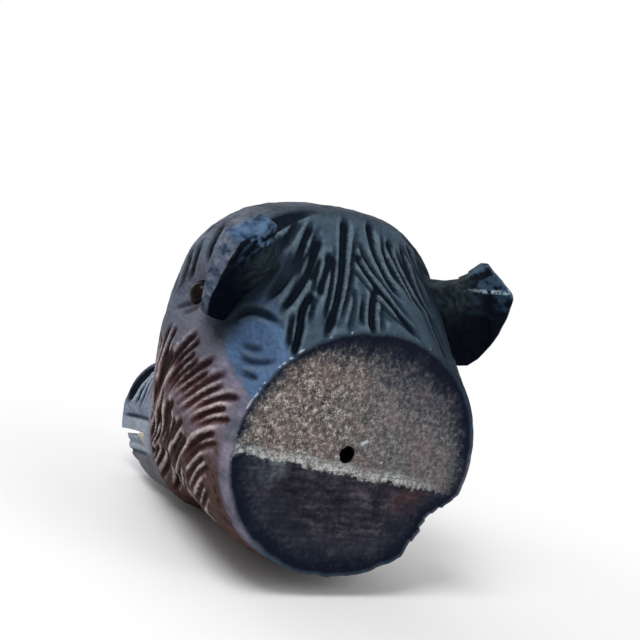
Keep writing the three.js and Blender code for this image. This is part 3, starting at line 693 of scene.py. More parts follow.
# The line of pale glue crumbs across the back, which isn't quite level, the ruddy stain below it,
# the pale smear beside that, and spots of chalk, each with its place and reach
SEAM_DROP = 4.6
SEAM_TILT = 0.078
RUSSET_SPOT = (-19.0, -10.5)
SMEAR_SIDE = 26.0
CHALK_SPOTS = ((0.4, 3.0, 0.9), (-0.4, 3.5, 0.7), (-6.2, -0.9, 0.7), (-7, -0.2, 0.5), (27, 16.5, 0.5))


def back_masks(back, rim):
    """The stained border, the glue line and the marks on the sawn back."""
    across, _, height = back.reshape(-1, 3).T
    to_rim = np.linalg.norm((back - rim) * (1, 0, 1), axis=-1).reshape(-1)
    turn = np.degrees(np.arctan2(height / NECK_RISE, across / NECK_SIDE)) % 360
    width = 1.4 + 4.2 * ramp(turn, 40, 95) - 3.0 * ramp(turn, 120, 185) + 1.5 * ramp(turn, 190, 230)
    seam = height + SEAM_DROP - SEAM_TILT * across
    ruddy = np.hypot((across - RUSSET_SPOT[0]) / 7, (height - RUSSET_SPOT[1]) / 4)
    chips_and_rim_glint = np.zeros(len(across))
    for x, z, reach in CHALK_SPOTS:
        chips_and_rim_glint += 1 - ramp(np.hypot(across - x, height - z), reach * 0.5, reach)
    return {
        "sawn": np.ones(len(across)),
        "border": to_rim / width,
        "seam": seam,
        "gritty": ramp(across, -12, 20),
        "crumbly": ramp(across, -30, -17) * (0.8 + 0.2 * np.exp(-(((across - 4) / 12) ** 2))),
        "smear": np.exp(-(((across - SMEAR_SIDE) / 6) ** 2)) * ramp(seam, -7, -2),
        "russet": 1 - ramp(ruddy, 0.4, 1.3),
        # Rings of the screw hole, painted black as its shade
        "hole": (np.arange(len(across)) < HOLE_ROWS * COLUMNS).astype(float),
        "chips_and_rim_glint": chips_and_rim_glint,
    }


def rooting_disc(edge):
    """From the edge of the snout to its middle, dished, with the nostrils bored in."""
    lean = np.array((0, -1, -SNOUT_LEAN))
    lean /= np.linalg.norm(lean)
    heart = edge.mean(axis=0)
    shares = np.linspace(0, 1, NOSE_ROWS + 1)[1:]
    nose = np.array([heart + (edge - heart) * (1 - share) for share in shares])
    spots = nose.reshape(-1, 3)
    from_heart = np.linalg.norm((spots - heart) * (1, 0, 1) / (DISC_SIDE, 1, DISC_RISE), axis=1)
    dish = DISC_DISH * (1 - ramp(from_heart, 0.3, 0.95))
    for side in (-1, 1):
        nostril = heart + np.array((side * NOSTRIL_SIDE, 0, NOSTRIL_RISE))
        gap = np.linalg.norm((spots - nostril) * (1, 0, 1), axis=1)
        dish += NOSTRIL_DEPTH * (1 - ramp(gap, NOSTRIL_RADIUS * 0.75, NOSTRIL_RADIUS * 1.12))
    dish += 0.3 * lumps(spots, 2.2, 21)
    spots = spots - lean * dish[:, None]
    bare = np.ones(len(dish))
    # The nostrils take the darkest groove colours as painted shade in the holes
    return spots.reshape(nose.shape), {"groove": ramp(dish, 1.2, 3), "pale": bare, "muzzle": bare}


def carved_head(end, seed):
    """All rings from the bottom of the screw hole to the middle of the snout, and all masks."""
    skin, on_skin = carved_skin(end, seed)
    back, on_back = sawn_back(skin[0])
    nose, on_nose = rooting_disc(skin[-1])
    parts = ((back, on_back), (skin, on_skin), (nose, on_nose))
    masks = {}
    for name in {**on_back, **on_skin}:
        masks[name] = np.concatenate([part.get(name, np.zeros(rings.size // 3)) for rings, part in parts])
    return np.concatenate([back, skin, nose]), masks


def split_along_cuts(form, groove):
    """Splits each quad of a flat grid along the diagonal that the cuts follow there, so that no ridge
    or groove is notched where it crosses the grid."""
    rows, columns = groove.shape
    around = np.roll(groove, -1, 1) - np.roll(groove, 1, 1)
    falling = softened(around * np.gradient(groove, axis=0), 3) > 0
    ways = {"FIXED": [], "ALTERNATE": []}
    for face in form.faces:
        spot = face.calc_center_median()
        column = int((spot.x + 1) / 2 * columns)
        row = int((spot.y + 1) / 2 * (rows - 1))
        ways["ALTERNATE" if falling[row, column] else "FIXED"].append(face)
    for way, faces in ways.items():
        bmesh.ops.triangulate(form, faces=faces, quad_method=way)


def ring_mesh(name, points, masks):
    """A closed mesh through rings of points, with the masks as attributes."""
    rows, columns = points.shape[:2]
    form = bmesh.new()
    bmesh.ops.create_grid(form, x_segments=columns, y_segments=rows - 1, size=1)
    split_along_cuts(form, masks["groove"].reshape(rows, columns))
    mesh = bpy.data.meshes.new(name)
    form.to_mesh(mesh)
    form.free()
    place = np.zeros(len(mesh.vertices) * 3)
    mesh.vertices.foreach_get("co", place)
    place = place.reshape(-1, 3)
    column = np.rint((place[:, 0] + 1) / 2 * columns).astype(int) % columns
    row = np.rint((place[:, 1] + 1) / 2 * (rows - 1)).astype(int)
    mesh.vertices.foreach_set("co", (points[row, column] * MM).ravel())
    for mask, values in masks.items():
        layer = mesh.attributes.new(mask, "FLOAT", "POINT")
        layer.data.foreach_set("value", values.reshape(rows, columns)[row, column])
    form = bmesh.new()
    form.from_mesh(mesh)
    bmesh.ops.remove_doubles(form, verts=form.verts, dist=1e-7)
    bmesh.ops.recalc_face_normals(form, faces=form.faces)
    bpy.data.meshes.remove(mesh)
    return form


def split_at_joint(form, keep_upper):
    """Keeps the billet above or below the joint, and closes it there."""
    up = Vector((0, -math.sin(JOINT_SLOPE), math.cos(JOINT_SLOPE)))
    shift = GLUE_SEAM / 2 if keep_upper else -GLUE_SEAM / 2
    spot = Vector((0, 0, -JOINT_DROP * MM)) + up * shift * MM
    everything = form.verts[:] + form.edges[:] + form.faces[:]
    cut = bmesh.ops.bisect_plane(
        form, geom=everything, plane_co=spot, plane_no=up,
        clear_inner=keep_upper, clear_outer=not keep_upper,
    )
    edges = [part for part in cut["geom_cut"] if isinstance(part, bmesh.types.BMEdge)]
    made = bmesh.ops.contextual_create(form, geom=edges)
    bmesh.ops.triangulate(form, faces=made["faces"])
    bmesh.ops.recalc_face_normals(form, faces=form.faces)


def shade(mesh, sharp_angle):
    """Shades a mesh smoothly, but for edges sharper than the angle."""
    for face in mesh.polygons:
        face.use_smooth = True
    mesh.set_sharp_from_angle(angle=math.radians(sharp_angle))


def piece_from(form, name, sharp_angle=40):
    mesh = bpy.data.meshes.new(name)
    form.to_mesh(mesh)
    form.free()
    shade(mesh, sharp_angle)
    piece = bpy.data.objects.new(name, mesh)
    bpy.context.scene.collection.objects.link(piece)
    return piece


def dress(piece, node, look):
    """Puts a finished piece in the place of its solid."""
    piece.data.materials.clear()
    piece.data.materials.append(look)
    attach(piece, "root")
    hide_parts(node)


def baked_mesh(piece):
    """The piece's mesh with its modifiers applied."""
    graph = bpy.context.evaluated_depsgraph_get()
    mesh = bpy.data.meshes.new_from_object(piece.evaluated_get(graph))
    old = piece.data
    piece.modifiers.clear()
    piece.data = mesh
    bpy.data.meshes.remove(old)


def node_copy(names, grow):
    """A merged copy of CAD nodes, grown by a clearance."""
    form = bmesh.new()
    for name in names:
        form.from_mesh(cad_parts[name].data)
    bmesh.ops.remove_doubles(form, verts=form.verts, dist=1e-6)
    form.normal_update()
    for vert in form.verts:
        vert.co += vert.normal * grow * MM
    return form


def cut_out(piece, form):
    """Cuts a closed form out of a piece."""
    mesh = bpy.data.meshes.new("cutter")
    form.to_mesh(mesh)
    form.free()
    cutter = bpy.data.objects.new("cutter", mesh)
    bpy.context.scene.collection.objects.link(cutter)
    change = piece.modifiers.new("cut", "BOOLEAN")
    change.operation = "DIFFERENCE"
    change.solver = "EXACT"
    change.object = cutter
    baked_mesh(piece)
    bpy.data.objects.remove(cutter)
    bpy.data.meshes.remove(mesh)


def mouth_slab():
    form = bmesh.new()
    start = (HEAD_LENGTH - MOUTH_LENGTH) / math.cos(JOINT_SLOPE)
    length = 60.0
    width = 200.0
    place = (
        Matrix.Translation((0, 0, -JOINT_DROP * MM))
        @ Matrix.Rotation(JOINT_SLOPE, 4, "X")
        @ Matrix.Translation((0, -(start + length / 2) * MM, 0))
        @ Matrix.Diagonal((width * MM, length * MM, MOUTH_GAP * MM, 1))
    )
    bmesh.ops.create_cube(form, size=1, matrix=place)
    return form


# Finishes. The stained wood has only a dull wax gloss
WOOD_GLOSS = 0.03


def stain(red, green, blue):
    """A colour given as it looks on a screen, from 0 to 255."""
    def linear(level):
        level /= 255
        return level / 12.92 if level <= 0.04045 else ((level + 0.055) / 1.055) ** 2.4
    return (linear(red), linear(green), linear(blue), 1.0)


class Finish:
    """A node material put together one step at a time. Sizes of patterns are in millimetres."""

    def __init__(self, name):
        self.material = bpy.data.materials.new(name)
        self.material.use_nodes = True
        self.tree = self.material.node_tree
        self.shader = self.tree.nodes["Principled BSDF"]
        self.place = self.tree.nodes.new("ShaderNodeTexCoord").outputs["Object"]

    def feed(self, socket, value):
        if isinstance(value, bpy.types.NodeSocket):
            self.tree.links.new(value, socket)
        else:
            socket.default_value = value

    def scaled(self, size, stretch):
        mapping = self.tree.nodes.new("ShaderNodeMapping")
        mapping.inputs["Scale"].default_value = [s / (size * MM) for s in stretch]
        self.tree.links.new(self.place, mapping.inputs["Vector"])
        return mapping.outputs["Vector"]

    def noise(self, size, detail=2.0, stretch=(1, 1, 1), rough=0.5):
        node = self.tree.nodes.new("ShaderNodeTexNoise")
        node.inputs["Scale"].default_value = 1.0
        node.inputs["Detail"].default_value = detail
        node.inputs["Roughness"].default_value = rough
        self.tree.links.new(self.scaled(size, stretch), node.inputs["Vector"])
        return node.outputs["Fac"]

    def mask(self, name):
        node = self.tree.nodes.new("ShaderNodeAttribute")
        node.attribute_name = name
        return node.outputs["Fac"]

    def combine(self, kind, first, second, clamp=False):
        node = self.tree.nodes.new("ShaderNodeMath")
        node.operation = kind
        node.use_clamp = clamp
        self.feed(node.inputs[0], first)
        self.feed(node.inputs[1], second)
        return node.outputs[0]

    def times(self, first, second):
        return self.combine("MULTIPLY", first, second)

    def plus(self, first, second, clamp=False):
        return self.combine("ADD", first, second, clamp)

    def spread(self, value, low, high, start=0.0, end=1.0):
        node = self.tree.nodes.new("ShaderNodeMapRange")
        self.feed(node.inputs["Value"], value)
        node.inputs["From Min"].default_value = low
        node.inputs["From Max"].default_value = high
        node.inputs["To Min"].default_value = start
        node.inputs["To Max"].default_value = end
        return node.outputs["Result"]

    def shades(self, value, *stops):
        """Colours along a value. A stop is its place and its colour as it looks on a screen."""
        node = self.tree.nodes.new("ShaderNodeValToRGB")
        self.feed(node.inputs["Fac"], value)
        elements = node.color_ramp.elements
        while len(elements) < len(stops):
            elements.new(0.5)
        for element, (place, *colour) in zip(elements, stops):
            element.position = place
            element.color = stain(*colour)
        return node.outputs["Color"]

    def blend(self, factor, first, second, kind="MIX"):
        node = self.tree.nodes.new("ShaderNodeMix")
        node.data_type = "RGBA"
        node.blend_type = kind
        self.feed(node.inputs[0], factor)
        self.feed(node.inputs[6], first)
        self.feed(node.inputs[7], second)
        return node.outputs[2]

    def done(self, colour, roughness, height=None, strength=0.3, distance=0.2, specular=0.3):
        self.feed(self.shader.inputs["Base Color"], colour)
        self.feed(self.shader.inputs["Roughness"], roughness)
        self.shader.inputs["Specular IOR Level"].default_value = specular
        if height is not None:
            bump = self.tree.nodes.new("ShaderNodeBump")
            bump.inputs["Strength"].default_value = strength
            bump.inputs["Distance"].default_value = distance * MM
            self.feed(bump.inputs["Height"], height)
            self.tree.links.new(bump.outputs["Normal"], self.shader.inputs["Normal"])
        return self.material


def skin_stain(f, cloud, grain, strands):
    """Colour of the carved skin, darker in the grooves from stain and painted shade, and paler on the
    ridges from wear and a painted highlight.
    """
    # Darker in the grooves: partly stain held in the cuts, partly painted shade
    groove = f.plus(f.mask("groove"), f.spread(grain, 0.3, 0.7, -0.1, 0.1), clamp=True)
    # Blue-grey of the mane, face and muzzle: dark stain with painted sky reflection; the darkest stops
    # are partly painted shade
    mane = f.shades(groove, (0.0, 60, 75, 88), (0.3, 42, 55, 68), (0.9, 6, 15, 25))
    face = f.shades(groove, (0.0, 92, 99, 113), (0.3, 64, 71, 84), (0.8, 18, 20, 28))
    muzzle = f.shades(groove, (0.0, 136, 148, 166), (0.3, 84, 96, 114), (0.8, 18, 22, 32))
    chin = f.shades(groove, (0.0, 96, 94, 98), (0.7, 40, 38, 42))
    # The patch's slate blue is painted sky reflection on the dark stain
    patch = f.shades(groove, (0.0, 74, 98, 130), (0.35, 56, 74, 100), (0.9, 24, 34, 50))
    lilac = f.shades(groove, (0.0, 120, 115, 132), (0.35, 92, 85, 100), (0.9, 42, 30, 37))
    upper_cheek = f.shades(
        groove, (0.0, 114, 107, 121), (0.25, 98, 81, 89), (0.6, 70, 43, 43), (1.0, 30, 14, 14))
    lower_cheek = f.shades(
        groove, (0.0, 74, 54, 51), (0.25, 68, 45, 41), (0.6, 50, 26, 22), (1.0, 24, 9, 8))
    cheek = f.blend(f.mask("low"), upper_cheek, lower_cheek)
    blots = f.times(f.mask("low"), f.spread(f.noise(2.6, 3), 0.53, 0.63, 0, 0.8))
    cheek = f.blend(blots, cheek, stain(38, 22, 18))
    colour = f.blend(f.mask("pale"), mane, face)
    colour = f.blend(f.mask("brown"), colour, cheek)
    colour = f.blend(f.times(f.mask("muzzle"), 0.5), colour, muzzle)
    colour = f.blend(f.times(f.mask("chin"), 0.85), colour, chin)
    # Painted highlight along the lips
    colour = f.blend(f.times(f.mask("lip_highlight"), 0.75), colour, stain(146, 156, 168))
    dappled = f.times(f.mask("lilac"), f.spread(cloud, 0.36, 0.56, 0.35, 1))
    colour = f.blend(dappled, colour, lilac)
    colour = f.blend(f.mask("patch_sky_reflection"), colour, patch)
    # Paler crests, partly wear and partly a painted highlight
    crest = f.blend(f.mask("brown"), stain(88, 104, 117), stain(193, 179, 181))
    crest = f.blend(f.mask("muzzle"), crest, stain(160, 174, 188))
    worn_and_highlit = f.times(f.mask("worn_and_highlit"), f.spread(grain, 0.35, 0.65, 0.5, 1))
    colour = f.blend(worn_and_highlit, colour, crest)
    # Painted shade round the ears
    painted_ear_shade = f.times(f.mask("painted_ear_shade"), f.spread(cloud, 0.3, 0.6, 0.7, 1))
    colour = f.blend(painted_ear_shade, colour, stain(26, 37, 48))
    # Painted shade on the right flank and on the crown
    colour = f.blend(f.times(f.mask("painted_side_shade"), 0.8), colour, stain(15, 24, 34))
    streak = f.spread(strands, 0.3, 0.7, 0.78, 1.16)
    tone_variation = f.times(streak, f.spread(cloud, 0.3, 0.7, 0.82, 1.12))
    return f.blend(0.8, colour, tone_variation, "MULTIPLY")


def end_grain(f, cloud, grit):
    """The sawn back: gritty raw wood above the glue line, darker wood below it, and a stained rim."""
    fine = f.noise(0.45, 2, rough=0.7)
    mottle = f.plus(f.times(grit, 0.6), f.times(fine, 0.4))
    coarse = f.shades(
        mottle, (0.38, 44, 40, 40), (0.46, 88, 83, 81), (0.53, 114, 108, 104), (0.62, 188, 183, 176))
    even = f.shades(mottle, (0.38, 60, 60, 64), (0.5, 94, 93, 96), (0.62, 132, 129, 128))
    raw = f.blend(f.mask("gritty"), even, coarse)
    raw = f.blend(f.spread(cloud, 0.48, 0.62, 0, 0.35), raw, stain(114, 96, 94))
    lines = f.times(f.noise(1.1, 3, (0.16, 1, 1)), 0.35)
    lines = f.plus(lines, f.times(f.plus(grit, cloud), 0.325))
    low = f.shades(lines, (0.38, 22, 21, 29), (0.5, 45, 43, 52), (0.62, 78, 73, 80))
    russet = f.times(f.mask("russet"), f.spread(grit, 0.35, 0.6, 0.2, 0.7))
    low = f.blend(russet, low, stain(72, 52, 51))
    smear = f.times(f.mask("smear"), f.spread(f.noise(2.4, 3), 0.4, 0.6))
    low = f.blend(smear, low, stain(104, 114, 120))
    wave = f.plus(f.mask("seam"), f.spread(grit, 0.3, 0.7, -0.6, 0.6))
    wave = f.plus(wave, f.spread(cloud, 0.3, 0.7, -0.8, 0.8))
    raw = f.blend(f.spread(wave, 0.1, -0.5), raw, low)
    ragged = f.plus(f.spread(cloud, 0.3, 0.7, -0.3, 0.3), f.spread(grit, 0.3, 0.7, -0.4, 0.4))
    edge = f.plus(f.mask("border"), ragged)
    raw = f.blend(f.spread(edge, 3.2, 0.9, 0, 0.88), raw, stain(34, 40, 52))
    raw = f.blend(f.spread(edge, 1.5, 0.5, 0, 0.9), raw, stain(13, 19, 33))
    band = f.times(f.spread(wave, -0.7, -0.1), f.spread(wave, 2.8, 1.0))
    crumbs = f.times(band, f.mask("crumbly"))
    flecks = f.spread(f.noise(0.85, 3, rough=0.75), 0.46, 0.58, 0.2, 1)
    raw = f.blend(f.times(crumbs, flecks), raw, stain(186, 190, 190))
    # Painted shade: the screw hole is black inside
    return f.blend(f.mask("hole"), raw, stain(8, 7, 8))


def carved_wood(name):
    """Stained carving with ridges paler from wear and a painted highlight, and the raw end grain of the
    saw cut.
    """
    f = Finish(name)
    cloud = f.noise(7, 3)
    grain = f.noise(0.9, 3)
    strands = f.noise(0.7, 2, (1, 0.12, 1))
    grit = f.noise(1.1, 3, rough=0.7)
    sawn = f.mask("sawn")
    colour = f.blend(sawn, skin_stain(f, cloud, grain, strands), end_grain(f, cloud, grit))
    # Pale chips and chalk; along the rim partly a painted highlight on its edge
    colour = f.blend(f.spread(f.mask("chips_and_rim_glint"), 0.5, 1.0), colour, stain(172, 180, 190))
    roughness = f.combine("MAXIMUM", f.spread(grain, 0.3, 0.7, 0.5, 0.68), f.times(sawn, 0.92))
    relief = f.plus(f.times(strands, 0.5), f.times(grit, 0.8))
    return f.done(colour, roughness, relief, 0.5, 0.25, WOOD_GLOSS)


def ear_wood(name, tip_light):
    """Near-black ears, partly painted shade, with painted light and sky reflection on the broken tip,
    painted light on the outer edge, a painted sheen and highlight line, and a greyer inner side.
    """
    f = Finish(name)
    grain = f.noise(1.2, 3)
    strands = f.noise(0.8, 2, (0.3, 1, 0.3))
    cloud = f.noise(5, 3)
    speck = f.noise(2.2, 3)
    # Near-black: dark stain, partly painted shade on backs that face down
    dark = f.shades(grain, (0.3, 2, 5, 13), (0.7, 8, 14, 25))
    # Painted sheen on the upper ear
    sheen = f.times(f.mask("sheen"), f.spread(speck, 0.45, 0.6, 0, 0.8))
    dark = f.blend(sheen, dark, stain(40, 58, 76))
    inner = f.shades(strands, (0.35, 22, 30, 35), (0.65, 44, 55, 60))
    dark = f.blend(f.times(f.mask("root"), f.spread(cloud, 0.35, 0.55, 0.4, 1)), dark, inner)
    # Painted light and sky reflection on the tip
    lit_tip = f.blend(f.spread(speck, 0.36, 0.62), stain(34, 50, 72), tip_light)
    # Painted light on the outward-facing edge
    edge = f.shades(speck, (0.36, 42, 54, 74), (0.5, 78, 88, 106), (0.64, 110, 114, 128))
    colour = f.blend(f.mask("edge"), dark, edge)
    ragged = f.plus(f.mask("lit_tip"), f.spread(speck, 0.35, 0.65, -0.4, 0.4))
    colour = f.blend(f.spread(ragged, 0.4, 0.62), colour, lit_tip)
    # Painted highlight line on the right ear
    glint = f.times(f.mask("glint"), f.spread(grain, 0.42, 0.56))
    colour = f.blend(glint, colour, stain(150, 172, 188))
    return f.done(colour, f.spread(grain, 0.3, 0.7, 0.5, 0.68), strands, 0.4, 0.2, WOOD_GLOSS)


def glass_eye(name):
    f = Finish(name)
    gaze = f.mask("gaze")
    speck = f.noise(0.6, 3)
    iris = f.shades(speck, (0.3, 9, 8, 8), (0.7, 24, 16, 12))
    colour = f.blend(f.spread(gaze, 0.66, 0.72), iris, stain(8, 8, 10))
    colour = f.blend(f.spread(gaze, 0.05, 0.2, 1, 0), colour, stain(16, 14, 16))
    f.shader.inputs["IOR"].default_value = 1.13
    return f.done(colour, f.spread(speck, 0.3, 0.7, 0.05, 0.08), specular=0.5)


def bone(name):
    f = Finish(name)
    cloud = f.noise(2.2, 3)
    lines = f.noise(0.35, 2, (1, 0.2, 1))
    colour = f.shades(cloud, (0.3, 128, 120, 106), (0.7, 170, 162, 148))
    colour = f.blend(f.spread(lines, 0.6, 0.75, 0, 0.5), colour, stain(96, 78, 58))
    return f.done(colour, f.spread(lines, 0.3, 0.7, 0.3, 0.5), lines, 0.2, 0.1, 0.4)


def bare_dowel(name):
    f = Finish(name)
    lines = f.noise(0.5, 3, (0.3, 0.3, 1))
    colour = f.shades(lines, (0.3, 140, 104, 66), (0.7, 196, 160, 116))
    return f.done(colour, f.spread(lines, 0.3, 0.7, 0.6, 0.8), lines, 0.3, 0.1, 0.3)


def drawn_wire(name):
    f = Finish(name)
    lines = f.noise(0.2, 2, (1, 0.2, 1))
    colour = f.shades(lines, (0.3, 96, 90, 86), (0.7, 150, 146, 140))
    f.shader.inputs["Metallic"].default_value = 1.0
    return f.done(colour, f.spread(lines, 0.3, 0.7, 0.3, 0.5), lines, 0.2, 0.05, 0.5)


# Pieces
HEAD_SEED = 7
SKULL_END = HEAD_LENGTH - 0.3
JAW_END = HEAD_LENGTH - JAW_SET_BACK - 0.5
SOCKET_CLEARANCE = 0.1
SHANK_CLEARANCE = 0.08


def make_billet(name, node, end, *sockets):
    """One billet of the head, with the mouth and the sockets of the pieces set in it cut out."""
    form = ring_mesh(name, *carved_head(end, HEAD_SEED))
    split_at_joint(form, node == "skull_block")
    piece = piece_from(form, name)
    cut_out(piece, mouth_slab())
    for names, clearance in sockets:
        cut_out(piece, node_copy(names, clearance))
    shade(piece.data, 70)
    dress(piece, node, carved_wood(node + "_stain"))


def make_head():
    tusks = ("left_tusk", "right_tusk")
    pins = ("left_eye", "right_eye", "left_ear_dowel", "right_ear_dowel") + tusks
    shanks = ("left_eye_shank", "right_eye_shank")
    make_billet(
        "carved_skull", "skull_block", SKULL_END, (pins, SOCKET_CLEARANCE), (shanks, SHANK_CLEARANCE))
    make_billet("carved_jaw", "jaw_block", JAW_END, (tusks, SOCKET_CLEARANCE))


# Ways of the left ear: down along it, out from the head, and the way that its front faces
EAR_FACING = Vector((0.447, -0.817, 0.364)).normalized()
EAR_OUT = EAR_FACING.cross(Vector((0.35, -0.215, -0.91))).normalized()
EAR_DOWN = EAR_OUT.cross(EAR_FACING).normalized()
TIP_FACING = (0.73 * EAR_OUT - 0.684 * EAR_DOWN).normalized()
TIP_LENGTH = 6.2
EAR_SINK = 1.6
EAR_VOXEL = 0.32
EAR_ROUGHNESS = 0.36
# Painted light and sky reflection on each ear's tip
EAR_TIP_LIGHT = {"left": stain(78, 102, 130), "right": stain(56, 76, 92)}


def mesh_field(values, kind):
    """Places or normals of a mesh as rows of three."""
    rows = np.zeros(len(values) * 3)
    values.foreach_get(kind, rows)
    return rows.reshape(-1, 3)


def make_ear(side):
    """An ear's flap with softened facets and a rough surface, sunk a little into the head."""
    node = side + "_ear"
    turn = np.array((1 if side == "left" else -1, 1, 1))
    piece = piece_from(node_copy((node,), 0), node + "_flap")
    change = piece.modifiers.new("even", "REMESH")
    change.mode = "VOXEL"
    change.voxel_size = EAR_VOXEL * MM
    soften = piece.modifiers.new("soften", "SMOOTH")
    soften.factor = 0.5
    soften.iterations = 6
    baked_mesh(piece)
    mesh = piece.data
    spots = mesh_field(mesh.vertices, "co") / MM
    normal = mesh_field(mesh.vertex_normals, "vector")
    rough = 0.5 * lumps(spots, 2.6, 31) + 0.3 * lumps(spots, 1.2, 32)
    facing = normal * turn
    facing_out = facing @ np.array(EAR_OUT)
    outwards = (spots * turn) @ np.array(EAR_OUT)
    outwards -= outwards.max()
    reach = ramp(outwards, -16, -4)
    below = (spots * turn) @ np.array(EAR_DOWN)
    below -= below.min()
    facet = ramp(facing @ np.array(TIP_FACING), 0.72, 0.9) * reach
    inward = 1 - ramp(outwards, -15, -6)
    masks = {
        # Painted light and sky reflection on the tip and on the facets that face up and out
        "lit_tip": np.maximum(facet, 0.75 * ramp(below, TIP_LENGTH + 1, TIP_LENGTH - 1) * (1 - inward)),
        # Painted light on the edge that faces out from the head
        "edge": ramp(facing_out, 0.45, 0.75) * reach,
        "root": ramp(below, 19, 9) * inward,
        # Painted sheen on the upper ear
        "sheen": ramp(below, 15, 9),
        # Painted highlight line on the right ear's tip
        "glint": (1 - ramp(np.abs(below - TIP_LENGTH), 0.3, 0.7)) * reach * (side == "right"),
    }
    hidden = ramp(facing_out, -0.3, -0.6)
    spots -= normal * (rough * EAR_ROUGHNESS * (1 - hidden))[:, None]
    spots -= hidden[:, None] * np.array(EAR_OUT) * turn * EAR_SINK
    mesh.vertices.foreach_set("co", (spots * MM).ravel())
    for mask, values in masks.items():
        mesh.attributes.new(mask, "FLOAT", "POINT").data.foreach_set("value", values)
    mesh.update()
    shade(mesh, 180)
    dress(piece, node, ear_wood(node + "_stain", EAR_TIP_LIGHT[side]))


def make_eye(side):
    node = side + "_eye"
    low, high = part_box(node)
    middle = (low + high) / 2
    turn = 1 if side == "left" else -1
    axis = Vector((turn * EYE_GAZE[0], *EYE_GAZE[1:])).normalized()
    place = Matrix.Translation(middle) @ axis.to_track_quat("Z", "Y").to_matrix().to_4x4()
    form = bmesh.new()
    bmesh.ops.create_uvsphere(form, u_segments=48, v_segments=32, radius=EYE_RADIUS * MM)
    bmesh.ops.transform(form, verts=form.verts, matrix=place)
    layer = form.verts.layers.float.new("gaze")
    for vert in form.verts:
        vert[layer] = max(0.0, (vert.co - middle).normalized().dot(axis))
    piece = piece_from(form, node + "_glass", 180)
    dress(piece, node, glass_eye(node + "_look"))


def make_tusk(side):
    node = side + "_tusk"
    form = node_copy((node,), 0)
    bmesh.ops.subdivide_edges(form, edges=form.edges, cuts=1, smooth=0.6, use_grid_fill=True)
    piece = piece_from(form, node + "_bone", 60)
    dress(piece, node, bone(node + "_look"))


def finish_hidden_pins():
    for side in ("left", "right"):
        for node, look in ((side + "_ear_dowel", bare_dowel), (side + "_eye_shank", drawn_wire)):
            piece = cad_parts[node]
            piece.data.materials.clear()
            piece.data.materials.append(look(node + "_look"))


# Light, floor and camera, in metres but for the camera's sensor and lens. The floor fades to white
# between two distances. Each lamp has its place, its size and its power
FLOOR_RADIUS = 6.0
FLOOR_FADE = (0.06, 0.2)
SKY_LEVEL = 0.4
LAMP_AIM = Vector((0, -0.03, 0.01))
LAMPS = {
    "over_left": ((0.32, 0.12, 0.52), 0.26, 2.6),
    "behind_right": ((-0.25, 0.55, 0.35), 0.5, 1.5),
    "front": ((0.05, -0.6, 0.35), 0.6, 1.8),
}
CAMERA_SPOT = Vector((0.1395, 0.1728, 0.0455))
CAMERA_RIGHT = Vector((-0.8089, 0.5299, 0.2546))
CAMERA_UP = Vector((0.169, -0.2052, 0.964))
SENSOR_WIDTH = 36.0
LENS = 54.0


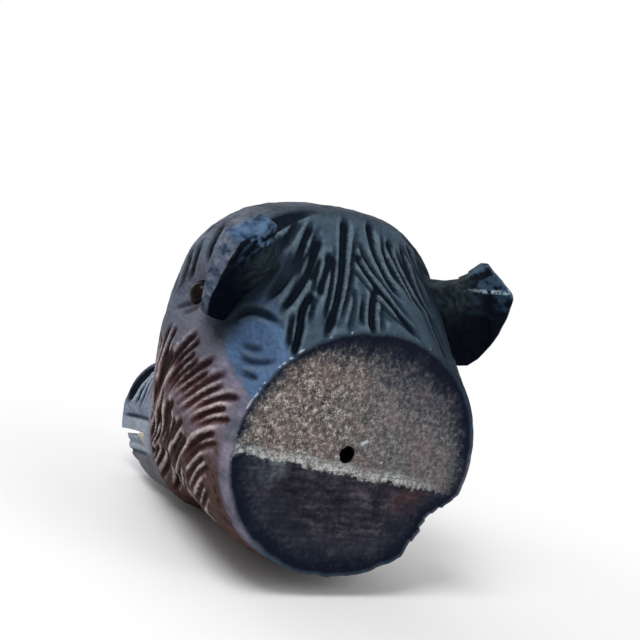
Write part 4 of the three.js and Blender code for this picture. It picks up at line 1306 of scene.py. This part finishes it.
def make_floor():
    form = bmesh.new()
    bmesh.ops.create_circle(form, cap_ends=True, segments=96, radius=FLOOR_RADIUS)
    floor = piece_from(form, "floor")
    floor.data.transform(Matrix.Translation((0, -0.04, cad_box[0][2])))
    material = bpy.data.materials.new("pale_floor")
    material.use_nodes = True
    tree = material.node_tree
    link = tree.links.new
    shader = tree.nodes["Principled BSDF"]
    shader.inputs["Base Color"].default_value = (0.85, 0.85, 0.85, 1)
    shader.inputs["Roughness"].default_value = 0.9
    shader.inputs["Specular IOR Level"].default_value = 0.0
    glow = tree.nodes.new("ShaderNodeEmission")
    glow.inputs["Color"].default_value = (1, 1, 1, 1)
    place = tree.nodes.new("ShaderNodeTexCoord")
    length = tree.nodes.new("ShaderNodeVectorMath")
    length.operation = "LENGTH"
    link(place.outputs["Object"], length.inputs[0])
    fade = tree.nodes.new("ShaderNodeMapRange")
    fade.interpolation_type = "SMOOTHSTEP"
    fade.inputs["From Min"].default_value = FLOOR_FADE[0]
    fade.inputs["From Max"].default_value = FLOOR_FADE[1]
    link(length.outputs["Value"], fade.inputs["Value"])
    mix = tree.nodes.new("ShaderNodeMixShader")
    link(fade.outputs["Result"], mix.inputs[0])
    link(shader.outputs[0], mix.inputs[1])
    link(glow.outputs[0], mix.inputs[2])
    link(mix.outputs[0], tree.nodes["Material Output"].inputs["Surface"])
    floor.data.materials.append(material)


def make_sky():
    """Even light all round, seen as white by the camera, in gloss and through glass."""
    world = bpy.data.worlds.new("studio")
    world.use_nodes = True
    bpy.context.scene.world = world
    tree = world.node_tree
    back = tree.nodes["Background"]
    back.inputs["Color"].default_value = (1, 1, 1, 1)
    path = tree.nodes.new("ShaderNodeLightPath")
    seen = path.outputs["Is Camera Ray"]
    for ray in ("Is Transmission Ray", "Is Glossy Ray"):
        either = tree.nodes.new("ShaderNodeMath")
        either.operation = "MAXIMUM"
        tree.links.new(seen, either.inputs[0])
        tree.links.new(path.outputs[ray], either.inputs[1])
        seen = either.outputs[0]
    level = tree.nodes.new("ShaderNodeMapRange")
    level.inputs["To Min"].default_value = SKY_LEVEL
    level.inputs["To Max"].default_value = 1.0
    tree.links.new(seen, level.inputs["Value"])
    tree.links.new(level.outputs["Result"], back.inputs["Strength"])


def make_lamps():
    for name, (spot, size, power) in LAMPS.items():
        lamp = bpy.data.lights.new(name, "AREA")
        lamp.size = size
        lamp.energy = power
        thing = bpy.data.objects.new(name, lamp)
        thing.location = spot
        thing.rotation_euler = (LAMP_AIM - Vector(spot)).to_track_quat("-Z", "Y").to_euler()
        bpy.context.scene.collection.objects.link(thing)


def make_camera():
    camera = bpy.data.cameras.new("photo_view")
    camera.sensor_fit = "HORIZONTAL"
    camera.sensor_width = SENSOR_WIDTH
    camera.lens = LENS
    camera.clip_start = 0.01
    thing = bpy.data.objects.new("photo_view", camera)
    right = CAMERA_RIGHT.normalized()
    back = right.cross(CAMERA_UP).normalized()
    turn = Matrix((right, back.cross(right), back)).transposed().to_4x4()
    thing.matrix_world = Matrix.Translation(CAMERA_SPOT) @ turn
    bpy.context.scene.collection.objects.link(thing)
    bpy.context.scene.camera = thing


make_camera()
make_head()
for side in ("left", "right"):
    make_ear(side)
    make_eye(side)
    make_tusk(side)
finish_hidden_pins()
make_floor()
make_sky()
make_lamps()
bpy.context.scene.view_settings.view_transform = "Standard"
